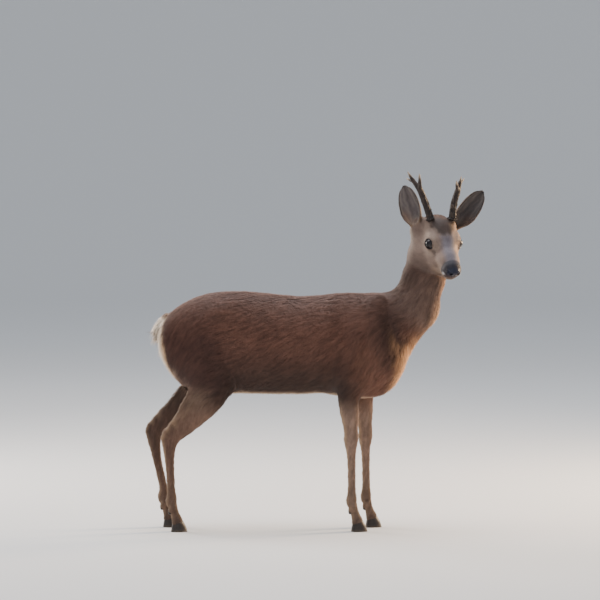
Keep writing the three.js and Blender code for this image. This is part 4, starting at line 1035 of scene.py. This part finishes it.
def coat_make(P, N, z):
    """Length, width and lift of the locks, and how closely they stand, at each point."""
    x, y, h = P.T
    u, v, w, s = z["u"], z["v"], z["w"], z["s"]
    L = np.full(len(P), 21.0)
    W = np.full(len(P), 1.9)
    dens = np.full(len(P), 0.19)           # locks per mm2
    lift = np.full(len(P), 0.0)            # extra height of the tip over the coat's surface, mm
    low = 1 - ramp(h, 300, 430)
    L = L * (1 - low) + np.interp(h, [0, 60, 200, 300, 430], [4.5, 5.5, 8.0, 10.0, 18.0]) * low
    W = W * (1 - low) + np.interp(h, [0, 60, 200, 430], [1.0, 1.1, 1.3, 1.8]) * low
    dens = dens * (1 - low) + np.interp(h, [0, 120, 430], [0.42, 0.32, 0.22]) * low
    L += 3.0 * (1 - ramp(h, 34, 48))
    rump = ramp(-N[:, 0], 0.15, 0.7) * ramp(x, -262, -330) * ramp(h, 410, 480)
    L += 11 * rump
    lift += 5.0 * rump
    tuft = bump(np.hypot((h - 558) / 1.4, y), 40) * ramp(-N[:, 0] + 0.5 * ramp(N[:, 2], 0.0, -0.6), 0.0, 0.5) * (x < -300)       # long hair under the tail
    L += 18 * tuft
    lift += 36 * tuft
    under = ramp(-N[:, 2], 0.35, 0.85) * (h > 360)
    L += 5 * under
    lift += 2.5 * under
    breast = ramp(N[:, 0], 0.2, 0.8) * ramp(x, 290, 350) * (1 - z["head"]) * (h < 800)
    L += 7 * breast
    lift += 5.0 * breast * ramp(h, 720, 600)
    fringe = ramp(-N[:, 0], 0.3, 0.8) * ramp(h, 230, 300) * (1 - ramp(h, 400, 470)) * (x < 0)      # back of the thighs and hocks
    L += 4 * fringe
    lift += 2.5 * fringe
    hw = z["head"]
    Lh = np.interp(u, [-110, -70, -40, 0, 50, 90, 120], [17, 13, 9.5, 6.0, 5.0, 3.8, 2.6])
    Lh = Lh + 4 * ramp(u, -20, -50) * ramp(w, 26, 44)
    Wh = np.interp(u, [-110, -40, 20, 120], [1.7, 1.25, 0.98, 0.72])
    L = L * (1 - hw) + Lh * hw
    W = W * (1 - hw) + Wh * hw
    dens = dens * (1 - hw) + np.interp(u, [-110, -40, 20, 120], [0.24, 0.46, 0.68, 0.85]) * hw
    lift = lift * (1 - hw)
    ew = z["ear"]
    inside = ramp(z["eh"], -0.3, 0.8)
    Le = 5.0 + 6.5 * inside * (1 - ramp(z["et"], 0.5, 0.95)) + 4 * inside * bump(np.abs(z["ev"]) - 0.6, 0.25) - 2.8 * ramp(z["et"], 0.80, 1.0)
    L = L * (1 - ew) + Le * ew
    W = W * (1 - ew) + 0.95 * ew
    dens = dens * (1 - ew) + (0.42 + 0.10 * inside) * ew
    lift = lift * (1 - ew) + (2.6 * inside * bump(np.abs(z["ev"]) - 0.55, 0.25) - 1.2 * ramp(np.abs(z["ev"]), 0.82, 0.97)) * ew
    return L, W, dens, lift

# ---------------------------------------------------------------- meshes
rng = np.random.default_rng(20817)


def metres(P):
    return (np.asarray(P, float) - ORIGIN) / 1000.0


def make_mesh(name, V, faces):
    """V in mm in the drawing frame; faces an (n, k) array, or a list of tuples."""
    me = bpy.data.meshes.new(name)
    V = metres(V)
    if isinstance(faces, np.ndarray):
        n, k = faces.shape
        me.vertices.add(len(V))
        me.vertices.foreach_set("co", V.astype(np.float32).ravel())
        me.loops.add(n * k)
        me.loops.foreach_set("vertex_index", faces.astype(np.int32).ravel())
        me.polygons.add(n)
        me.polygons.foreach_set("loop_start", np.arange(0, n * k, k, dtype=np.int32))
        me.update(calc_edges=True)
    else:
        me.from_pydata([tuple(v) for v in V], [], [tuple(int(i) for i in f) for f in faces])
        me.update()
    me.polygons.foreach_set("use_smooth", np.ones(len(me.polygons), bool))
    o = bpy.data.objects.new(name, me)
    bpy.context.scene.collection.objects.link(o)
    return o


def colour_layer(o, name, C):
    C = np.clip(np.asarray(C, float), 0, 4)
    a = o.data.attributes.new(name, "FLOAT_COLOR", "POINT")
    a.data.foreach_set("color", np.concatenate([C, np.ones((len(C), 1))], 1).astype(np.float32).ravel())


def value_layer(o, name, v):
    a = o.data.attributes.new(name, "FLOAT", "POINT")
    a.data.foreach_set("value", np.asarray(v, np.float32))


# ---------------------------------------------------------------- unwrap of the skin's own shape
def regions(P, z):
    r = np.full(len(P), 4)                                   # trunk, right half
    r[P[:, 1] > 0] = 5
    nk = z["neck"] > 0.5
    r[nk & (P[:, 1] <= 2)] = 2
    r[nk & (P[:, 1] > 2)] = 3
    lg = P[:, 2] < 402
    for i, (fore, side) in enumerate(((1, -1), (1, 1), (0, -1), (0, 1))):
        r[lg & ((P[:, 0] > 0) == bool(fore)) & ((P[:, 1] > 0) == (side > 0))] = 6 + i
    r[z["head"] > 0.5] = 0
    r[(z["ear"] > 0.5) & z["which"]] = 10
    r[(z["ear"] > 0.5) & ~z["which"]] = 11
    return r


CHART_FRAMES = [HM] + [np.eye(3)] * 9 + [np.stack([e["A"], e["W"], e["O"]]) for e in EARS]
CHART_SCALE = [1.7] + [1.0] * 9 + [1.5, 1.5]


def unwrap(V, Qd, reg):
    """Charts by part and facing, shelf-packed in the unit square. Returns each face's chart and the charts."""
    C = V[Qd].mean(1)
    n = np.cross(V[Qd[:, 2]] - V[Qd[:, 0]], V[Qd[:, 3]] - V[Qd[:, 1]])
    lab = np.zeros(len(Qd), int)
    for r in np.unique(reg):
        m = reg == r
        q = n[m] @ CHART_FRAMES[r].T
        a = np.abs(q).argmax(1)
        lab[m] = r * 6 + a * 2 + (q[np.arange(len(q)), a] > 0)
    charts = {}
    for l in np.unique(lab):
        r, a = l // 6, (l % 6) // 2
        fr = CHART_FRAMES[r]
        ax = [i for i in range(3) if i != a]
        M = fr[ax] * CHART_SCALE[r]
        p = V[Qd[lab == l].ravel()] @ M.T
        lo, hi = p.min(0), p.max(0)
        turn = (hi - lo)[1] > (hi - lo)[0]
        if turn:
            M, lo, hi = M[::-1], lo[::-1], hi[::-1]
        charts[l] = dict(M=M, lo=lo, size=hi - lo)
    order = sorted(charts, key=lambda l: -charts[l]["size"][1])
    side, pad = 600.0, 9.0
    while True:
        x, y, row, ok = pad, pad, 0.0, True
        for l in order:
            w, h = charts[l]["size"]
            if x + w + pad > side:
                x, y, row = pad, y + row + pad, 0.0
            if x + w + pad > side or y + h + pad > side:
                ok = False
                break
            charts[l]["at"] = np.array([x, y])
            x += w + pad
            row = max(row, h)
        if ok:
            break
        side *= 1.02
    for c in charts.values():
        c["k"] = 1 / side
    return lab, charts


def chart_uv(P, lab, charts):
    uv = np.zeros((len(P), 2))
    for l, c in charts.items():
        m = lab == l
        if m.any():
            uv[m] = (P[m] @ c["M"].T - c["lo"] + c["at"]) * c["k"]
    return uv


def set_uv(o, uv):
    layer = o.data.uv_layers.new(name="OFBake")
    layer.data.foreach_set("uv", uv.astype(np.float32).ravel())


# ---------------------------------------------------------------- the skin
k = 1.0
xs = axis(-412, (330, 4.6 * k), (350, 3.0 * k), (604, 1.75 * k))
ys = axis(-162, (34, 1.75 * k), (124, 4.4 * k))
zs = axis(19, (738, 4.6 * k), (1020, 1.75 * k))
bare_skin = lambda P: flesh(P, True)
V, Qd = nets(bare_skin, xs, ys, zs, coarse=6)
# keep the one body and drop any crumb
parent = np.arange(len(V))
E2 = np.concatenate([Qd[:, [0, 1]], Qd[:, [1, 2]], Qd[:, [2, 3]], Qd[:, [3, 0]]])
lab = np.arange(len(V))
for _ in range(4000):
    new = lab.copy()
    np.minimum.at(new, E2[:, 0], lab[E2[:, 1]])
    np.minimum.at(new, E2[:, 1], lab[E2[:, 0]])
    new = new[new]
    if (new == lab).all():
        break
    lab = new
main = np.bincount(lab, minlength=len(V)).argmax()
keep = lab == main
num = np.cumsum(keep) - 1
Qd = num[Qd[keep[Qd[:, 0]]]]
V = V[keep]
N = gradient(bare_skin, V, 0.6)
N /= np.linalg.norm(N, axis=1, keepdims=True) + 1e-9
Z = zones(V, N)
colour = coat_colour(V, N, Z)
bald, nose, lids, lip = bare(V, N, Z)
skin = make_mesh("skin", V, Qd)
reg_face = regions(V[Qd].mean(1), zones(V[Qd].mean(1), None))
face_lab, charts = unwrap(V, Qd, reg_face)
set_uv(skin, chart_uv(V[Qd].reshape(-1, 3), np.repeat(face_lab, 4), charts))
lie = hair_lie(V, N, Z)
streak = np.clip(along_hair(V, lie, 5.5, 61), -2, 2)
skin_colour = colour * (0.90 * (1 + 0.08 * streak))[:, None]
# black nose pad, its blue tint a painted sky reflection
skin_colour = mix(skin_colour, rgb(42, 44, 57), nose)
skin_colour = mix(skin_colour, rgb(24, 19, 19), lids)
skin_colour = mix(skin_colour, rgb(30, 24, 24), np.clip(lip * 0.9, 0, 1))
colour_layer(skin, "tint", skin_colour)
value_layer(skin, "bald", bald)
value_layer(skin, "nose", nose)

FLESH = ["head", "neck", "trunk", "tail", "foreleg_right", "foreleg_left", "hindleg_right", "hindleg_left", "ear_right", "ear_left"]
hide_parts(*FLESH)

def coronet_height(P):
    """Height of the top of the claws under each point."""
    out = np.zeros(len(P))
    for l in LEGS:
        on = (P[:, 1] * l["side"] > 0) & ((P[:, 0] > 0) == bool(l["fore"]))
        u = np.clip(P[:, 0] - (l["toe"] - 24), -4, 40)
        out = np.where(on, HOOF_HEEL_H + (HOOF_TOE_H - HOOF_HEEL_H) * u / (HOOF_LEN * HOOF_TOP), out)
    return out


# ---------------------------------------------------------------- the coat
Lc, Wc, Dc, Rc = coat_make(V, N, Z)
grow = 1 - np.clip(np.maximum(nose, np.maximum(lids, lip * 0.8)), 0, 1)
depth = coat_depth(V, Z["Q"])
depth = depth * (1 - Z["ear"]) + 1.1 * Z["ear"]
a, b, c, d = [V[Qd[:, i]] for i in range(4)]
area = 0.5 * np.linalg.norm(np.cross(c - a, d - b), axis=1)
want = area * (Dc[Qd].mean(1)) * grow[Qd].min(1)
want[V[Qd].mean(1)[:, 2] < coronet_height(V[Qd].mean(1)) + 1.0] = 0
budget = 226000
print("locks wanted", int(want.sum()))
want *= min(1.0, budget / want.sum())
whole = np.floor(want + rng.random(len(want))).astype(int)
fi = np.repeat(np.arange(len(Qd)), whole)
s, t = rng.random(len(fi)), rng.random(len(fi))
wt = np.stack([(1 - s) * (1 - t), s * (1 - t), s * t, (1 - s) * t], 1)


def at_root(A):
    return np.einsum("nk,nk...->n...", wt, A[Qd[fi]])


R = at_root(V)
Nr = at_root(N)
Nr /= np.linalg.norm(Nr, axis=1, keepdims=True)
Dr = at_root(lie)
L, W, lift, dep = at_root(Lc), at_root(Wc), at_root(Rc), at_root(depth)
col = at_root(colour)
body = 1 - np.maximum(at_root(Z["head"]), at_root(Z["ear"]))
st = np.clip(along_hair(R, Dr, 5.0, 61, 2, 5.0), -2, 2) * (0.35 + 0.65 * body)
st2 = np.clip(along_hair(R, Dr, 9.0, 62, 2, 8.0), -2, 2) * body
turn = rng.normal(0, 0.10, len(R)) + 0.13 * noise(R, 26.0, 31)
side = np.cross(Dr, Nr)
Dr = Dr * np.cos(turn)[:, None] + side * np.sin(turn)[:, None]
Dr -= (Dr * Nr).sum(1)[:, None] * Nr
Dr /= np.linalg.norm(Dr, axis=1, keepdims=True) + 1e-9
side = np.cross(Dr, Nr)
side /= np.linalg.norm(side, axis=1, keepdims=True) + 1e-9
clump = noise(R, 9.0, 41)
L = L * (0.82 + 0.36 * rng.random(len(R))) * (1 + 0.10 * clump)
W = W * (0.8 + 0.4 * rng.random(len(R))) * 1.0
up = rng.random(len(R))
M = R + Dr * (L * 0.52)[:, None]
T = R + Dr * L[:, None]
fm, ft = bare_skin(M), bare_skin(T)
hm = dep * (0.46 + 0.24 * up) + 0.35 * lift * up
hm = hm + 0.22 * st * np.minimum(dep, 5) * 0.5
ht = dep * (0.68 + 0.36 * up) + 0.11 * st * np.minimum(dep, 6) + lift * up ** 1.5 + 0.25 * np.maximum(clump, 0) * np.minimum(dep, 3)
M += Nr * np.clip(hm - fm, -6, 9)[:, None]
T += Nr * np.clip(ht - ft, -9, 14)[:, None]
R0 = R - Nr * 0.5
r1 = (W * 0.24)[:, None] * Nr
rings = np.stack([
    R0 - side * (W * 0.34)[:, None], R0 + r1 * 0.8, R0 + side * (W * 0.34)[:, None],
    M - side * (W * 0.5)[:, None], M + r1, M + side * (W * 0.5)[:, None], T], 1)
soft = 0.55
nrm = np.stack([
    Nr - side * soft, Nr, Nr + side * soft,
    Nr - side * soft, Nr, Nr + side * soft, Nr + Dr * 0.25], 1)
nrm /= np.linalg.norm(nrm, axis=2, keepdims=True)
TRI = np.array([[0, 1, 4], [0, 4, 3], [1, 2, 5], [1, 5, 4], [3, 4, 6], [4, 5, 6]])
tone = np.clip(0.98 + 0.20 * (rng.random(len(R)) - 0.5) + 0.11 * st + 0.035 * st2 + 0.04 * clump, 0.5, 1.6)
root_c = col * (0.84 * tone)[:, None]
mid_c = col * (1.00 * tone)[:, None]
tip_c = mix(col * (1.14 * tone)[:, None], np.array([0.42, 0.27, 0.19]) * np.linalg.norm(col, axis=1, keepdims=True) * 1.7, 0.20 * (1 - at_root(Z["head"])))
cols = np.stack([root_c, root_c, root_c, mid_c, mid_c, mid_c, tip_c], 1)
root_uv = chart_uv(R, face_lab[fi], charts)
OFF = np.array([[-1.2, -1.2], [0, -1.3], [1.2, -1.2], [-1.2, 0.4], [0, 0.4], [1.2, 0.4], [0, 1.5]]) * 1e-3
uvs = root_uv[:, None] + OFF[None]
part = reg_face[fi]
NAMES = [("coat_head", [0]), ("coat_ears", [10, 11]), ("coat_neck", [2, 3]), ("coat_trunk_right", [4]), ("coat_trunk_left", [5]), ("coat_legs", [6, 7, 8, 9])]
coats = []
for name, rs in NAMES:
    ids = np.flatnonzero(np.isin(part, rs))
    if not len(ids):
        continue
    ids = ids[np.argsort(R[ids, 0], kind="stable")]
    parts = int(math.ceil(len(ids) / 32500))
    for j, ch in enumerate(np.array_split(ids, parts)):
        n = len(ch)
        F = (TRI[None] + 7 * np.arange(n)[:, None, None]).reshape(-1, 3)
        o = make_mesh(name if parts == 1 else f"{name}_{j + 1}", rings[ch].reshape(-1, 3), F)
        set_uv(o, uvs[ch][:, TRI.ravel()].reshape(-1, 2))
        colour_layer(o, "tint", cols[ch].reshape(-1, 3))
        o.data.normals_split_custom_set_from_vertices(nrm[ch].reshape(-1, 3).astype(np.float32))
        coats.append((o, rs))
        print(o.name, n, "locks")

# ---------------------------------------------------------------- antlers, claws, eyes
horns = []
for name, a in ANTLERS.items():
    AV, AQ = antler(a)
    AN = gradient(lambda P: -rope(P, resample(a["beam"]))[0], AV[:2])
    o = make_mesh(f"antler_{name}", AV, AQ)
    z = AV[:, 2]
    tip = np.zeros(len(AV))
    for tn in a["tines"]:
        e = np.array(tn[-1][:3], float)
        tip = np.maximum(tip, 1 - ramp(np.linalg.norm(AV - e, axis=1), 3, 24))
    base = 1 - ramp(z, 925, 990)
    pearl = ramp(noise(AV * [1, 1, 0.75], 4.2, 7), 0.05, 0.7)
    C = np.tile(rgb(45, 35, 31), (len(AV), 1))
    C = mix(C, rgb(30, 24, 22), base * 0.7)
    C = mix(C, rgb(106, 88, 76), pearl * (0.16 + 0.22 * base))
    C = mix(C, rgb(168, 150, 130), tip ** 1.8 * 0.8)
    C *= (1 + 0.16 * noise(AV * [1, 1, 0.3], 3.4, 12))[:, None]
    colour_layer(o, "tint", C)
    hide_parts(f"antler_beam_{name}", *[f"antler_tine_{t}_{name}" for t in ("front", "top", "rear")])
    horns.append(o)

claws = []
for l in LEGS:
    foot = f"{'fore' if l['fore'] else 'hind'}_{'left' if l['side'] > 0 else 'right'}"
    x0, yc = l["toe"] - 24, l["side"] * l["track"]
    for sd in (-1, 1):
        which = "outer" if sd * l["side"] > 0 else "inner"
        P, F = claw(x0, yc + sd * CLEFT / 2, sd)
        o = make_mesh(f"horn_hoof_{foot}_{which}", P, F)
        C = np.tile(rgb(42, 36, 33), (len(P), 1))
        C = mix(C, rgb(92, 78, 64), (1 - ramp(P[:, 2], 1, 10)) * 0.45)
        C *= (1 + 0.18 * noise(P * [0.4, 0.4, 2.2], 3.0, 15))[:, None]
        colour_layer(o, "tint", C)
        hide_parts(f"hoof_{foot}_{which}")
        claws.append(o)
        P, F = dewclaw((l["toe"] - 27, yc + sd * 8.5, 60), sd)
        o = make_mesh(f"horn_dewclaw_{foot}_{which}", P, F)
        colour_layer(o, "tint", np.tile(rgb(40, 34, 31), (len(P), 1)) * (1 + 0.15 * noise(P, 3.0, 16))[:, None])
        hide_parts(f"dewclaw_{foot}_{which}")
        claws.append(o)

eyes = []
for e, name in zip(EYES, ("right", "left")):
    P, F = eyeball(e)
    o = make_mesh(f"ball_{name}", P, F)
    q = to_head(P) - e["c"]
    q /= np.linalg.norm(q, axis=1, keepdims=True)
    s_, t_ = q @ e["f"], q @ np.cross(e["n"], e["f"])
    pup = 1 - ramp(np.hypot(s_ / 0.50, t_ / 0.27), 0.9, 1.08)
    iris = 1 - ramp(np.hypot(s_, t_), 0.66, 0.74)
    ang = np.arctan2(t_, s_)
    # dark eye tinted blue: a painted sky reflection in the iris and pupil
    C = np.tile(rgb(16, 15, 20), (len(P), 1))
    fib = 0.8 + 0.2 * np.sin(ang * 46 + 3 * noise(q * 40, 6.0, 18))
    C = mix(C, rgb(34, 27, 30), iris * fib)
    C = mix(C, rgb(6, 8, 14), pup)
    colour_layer(o, "tint", C)
    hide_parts(f"eye_{name}")
    eyes.append(o)


# ---------------------------------------------------------------- materials
def material(name, rough=0.6, spec=0.3, sheen=0.0, coat=0.0, tint="tint", noise_amount=0.2, noise_scale=420.0, bumps=(), rough_var=0.0):
    m = bpy.data.materials.new(name)
    m.use_nodes = True
    nt = m.node_tree
    nt.nodes.clear()
    new = nt.nodes.new
    out, bs = new("ShaderNodeOutputMaterial"), new("ShaderNodeBsdfPrincipled")
    nt.links.new(bs.outputs[0], out.inputs[0])
    bs.inputs["Roughness"].default_value = rough
    bs.inputs["Specular IOR Level"].default_value = spec
    bs.inputs["Sheen Weight"].default_value = sheen
    bs.inputs["Sheen Roughness"].default_value = 0.45
    bs.inputs["Sheen Tint"].default_value = (1.0, 0.86, 0.74, 1)
    bs.inputs["Coat Weight"].default_value = coat
    bs.inputs["Coat Roughness"].default_value = 0.03
    at = new("ShaderNodeAttribute")
    at.attribute_name = tint
    tc = new("ShaderNodeTexCoord")
    nz = new("ShaderNodeTexNoise")
    nz.inputs["Scale"].default_value = noise_scale
    nz.inputs["Detail"].default_value = 3.0
    nt.links.new(tc.outputs["Object"], nz.inputs["Vector"])
    mr = new("ShaderNodeMapRange")
    mr.inputs["From Min"].default_value, mr.inputs["From Max"].default_value = 0.28, 0.72
    mr.inputs["To Min"].default_value, mr.inputs["To Max"].default_value = 1 - noise_amount, 1 + noise_amount
    nt.links.new(nz.outputs["Fac"], mr.inputs["Value"])
    mx = new("ShaderNodeMix")
    mx.data_type, mx.blend_type = "RGBA", "MULTIPLY"
    mx.inputs[0].default_value = 1.0
    cb = new("ShaderNodeCombineColor")
    for i in range(3):
        nt.links.new(mr.outputs["Result"], cb.inputs[i])
    nt.links.new(at.outputs["Color"], mx.inputs[6])
    nt.links.new(cb.outputs[0], mx.inputs[7])
    nt.links.new(mx.outputs[2], bs.inputs["Base Color"])
    if rough_var:
        rr = new("ShaderNodeMapRange")
        rr.inputs["To Min"].default_value, rr.inputs["To Max"].default_value = rough - rough_var, rough + rough_var
        nt.links.new(nz.outputs["Fac"], rr.inputs["Value"])
        nt.links.new(rr.outputs["Result"], bs.inputs["Roughness"])
    last = None
    for kind, scale, strength, dist, mask in bumps:
        if kind == "cell":
            tx = new("ShaderNodeTexVoronoi")
            tx.inputs["Scale"].default_value = scale
            src = tx.outputs["Distance"]
        else:
            tx = new("ShaderNodeTexNoise")
            tx.inputs["Scale"].default_value = scale
            tx.inputs["Detail"].default_value = 4.0
            src = tx.outputs["Fac"]
        nt.links.new(tc.outputs["Object"], tx.inputs["Vector"])
        bp = new("ShaderNodeBump")
        bp.inputs["Strength"].default_value = strength
        bp.inputs["Distance"].default_value = dist
        if mask:
            ma = new("ShaderNodeAttribute")
            ma.attribute_name = mask[1:] if mask[0] == "!" else mask
            mm = new("ShaderNodeMath")
            if mask[0] == "!":
                inv = new("ShaderNodeMath")
                inv.operation = "SUBTRACT"
                inv.inputs[0].default_value = 1.0
                nt.links.new(ma.outputs["Fac"], inv.inputs[1])
                fac = inv.outputs[0]
            else:
                fac = ma.outputs["Fac"]
            mm.operation = "MULTIPLY"
            nt.links.new(src, mm.inputs[0])
            nt.links.new(fac, mm.inputs[1])
            src = mm.outputs[0]
        nt.links.new(src, bp.inputs["Height"])
        if last is not None:
            nt.links.new(last, bp.inputs["Normal"])
        last = bp.outputs[0]
    if last is not None:
        nt.links.new(last, bs.inputs["Normal"])
    return m, nt, bs


m_skin, nt, bs = material("hide", rough=0.72, spec=0.22, noise_amount=0.22, noise_scale=520.0,
                          bumps=(("noise", 900.0, 0.55, 0.0006, "!bald"), ("cell", 620.0, 0.6, 0.0005, "nose"), ("noise", 260.0, 0.25, 0.0006, None)))
ba = nt.nodes.new("ShaderNodeAttribute")
ba.attribute_name = "bald"
rr = nt.nodes.new("ShaderNodeMapRange")
rr.inputs["To Min"].default_value, rr.inputs["To Max"].default_value = 0.72, 0.30
nt.links.new(ba.outputs["Fac"], rr.inputs["Value"])
nt.links.new(rr.outputs["Result"], bs.inputs["Roughness"])
m_coat = material("coat_hair", rough=0.58, spec=0.28, sheen=0.06, noise_amount=0.16, noise_scale=700.0)[0]
m_horn = material("antler_bone", rough=0.52, spec=0.30, noise_amount=0.22, noise_scale=260.0, rough_var=0.14,
                  bumps=(("noise", 340.0, 0.5, 0.0007, None), ("noise", 1300.0, 0.35, 0.0003, None)))[0]
m_claw = material("claw_horn", rough=0.42, spec=0.45, noise_amount=0.25, noise_scale=180.0, rough_var=0.12,
                  bumps=(("noise", 420.0, 0.35, 0.0004, None),))[0]
m_eye = material("eye_wet", rough=0.13, spec=0.36, coat=0.0, noise_amount=0.12, noise_scale=900.0)[0]

skin.data.materials.append(m_skin)
for o, _ in coats:
    o.data.materials.append(m_coat)
for o in horns:
    o.data.materials.append(m_horn)
for o in claws:
    o.data.materials.append(m_claw)
for o in eyes:
    o.data.materials.append(m_eye)

for o in [skin] + [c[0] for c in coats] + horns + claws + eyes:
    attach(o, "root")

# ---------------------------------------------------------------- floor, backdrop, light and camera
FLOOR_TONE = (0.70, 0.70, 0.69)
FLAT, RISE = 13.0, 5.0                        # a round floor whose rim curves up, the same from every side
arc = np.linspace(0, 1.25, 12)
prof = [(r, 0.0) for r in (1.0, 3.0, 6.0, 9.5, FLAT)] + [(FLAT + RISE * math.sin(a), RISE - RISE * math.cos(a)) for a in arc[1:]]
TURNS = 72
P = [(0.0, 0.0, 0.0)] + [(r * 1000 * math.cos(2 * math.pi * i / TURNS), r * 1000 * math.sin(2 * math.pi * i / TURNS), h * 1000) for r, h in prof for i in range(TURNS)]
F = [(0, 1 + i, 1 + (i + 1) % TURNS) for i in range(TURNS)]
F += [(1 + k * TURNS + i, 1 + (k + 1) * TURNS + i, 1 + (k + 1) * TURNS + (i + 1) % TURNS, 1 + k * TURNS + (i + 1) % TURNS) for k in range(len(prof) - 1) for i in range(TURNS)]
floor = make_mesh("floor", np.array(P) + ORIGIN, F)
mf = bpy.data.materials.new("pale_floor")
mf.use_nodes = True
fb = mf.node_tree.nodes["Principled BSDF"]
fb.inputs["Base Color"].default_value = (*FLOOR_TONE, 1)
fb.inputs["Roughness"].default_value = 0.9
fb.inputs["Specular IOR Level"].default_value = 0.1
# painted light: the floor's tone raised towards the far rim, where less light falls, so the backdrop looks evenly lit
floor_light_gain = np.interp([math.hypot(p[0], p[1]) for p in P], [0, 1800, 5000, 9000], [1.0, 1.0, 1.22, 1.35])
colour_layer(floor, "tint", np.array(FLOOR_TONE)[None] * floor_light_gain[:, None])
ta = mf.node_tree.nodes.new("ShaderNodeAttribute")
ta.attribute_name = "tint"
mf.node_tree.links.new(ta.outputs["Color"], fb.inputs["Base Color"])
floor.data.materials.append(mf)

world = bpy.data.worlds.new("studio")
bpy.context.scene.world = world
world.use_nodes = True
world.node_tree.nodes["Background"].inputs[0].default_value = (0.84, 0.90, 1.0, 1)
world.node_tree.nodes["Background"].inputs[1].default_value = 0.50


def area_light(name, at, aim, size, watts, colour=(1, 1, 1)):
    l = bpy.data.lights.new(name, "AREA")
    l.shape, l.size, l.size_y, l.energy, l.color = "RECTANGLE", size[0], size[1], watts, colour
    o = bpy.data.objects.new(name, l)
    bpy.context.scene.collection.objects.link(o)
    o.location = at
    o.rotation_euler = (Vector(aim) - Vector(at)).to_track_quat("-Z", "Y").to_euler()
    return o


area_light("overhead", (-0.7, 0.7, 5.2), (0.0, 0.1, 0.0), (5.0, 5.0), 400, (0.99, 0.98, 1.0))
area_light("behind_right", (2.8, 1.35, 1.35), (0.3, 0.0, 0.75), (0.9, 1.1), 210, (1.0, 0.72, 0.46))
area_light("behind_left", (-2.6, 1.8, 1.5), (-0.3, 0.0, 0.6), (1.0, 1.2), 75, (1.0, 0.90, 0.80))
area_light("front", (-0.6, -4.6, 2.2), (0.1, 0.0, 0.6), (3.0, 2.0), 14, (0.86, 0.92, 1.0))

PX = 2.94e-3                                  # metres to a pixel in the drawing
ELEV = 3.0
DIST = 12.0
cam = bpy.data.cameras.new("camera")
cam.sensor_width = 36.0
cam.lens = 36.0 * DIST / (600 * PX)
cam_o = bpy.data.objects.new("camera", cam)
bpy.context.scene.collection.objects.link(cam_o)
aim = Vector(((58.8 - ORIGIN[0]) / 1000.0, 0.0, 0.679))
el = math.radians(ELEV)
cam_o.location = aim + Vector((0, -math.cos(el), math.sin(el))) * DIST
cam_o.rotation_euler = (aim - cam_o.location).to_track_quat("-Z", "Y").to_euler()
cam.clip_start, cam.clip_end = 0.1, 60
bpy.context.scene.camera = cam_o
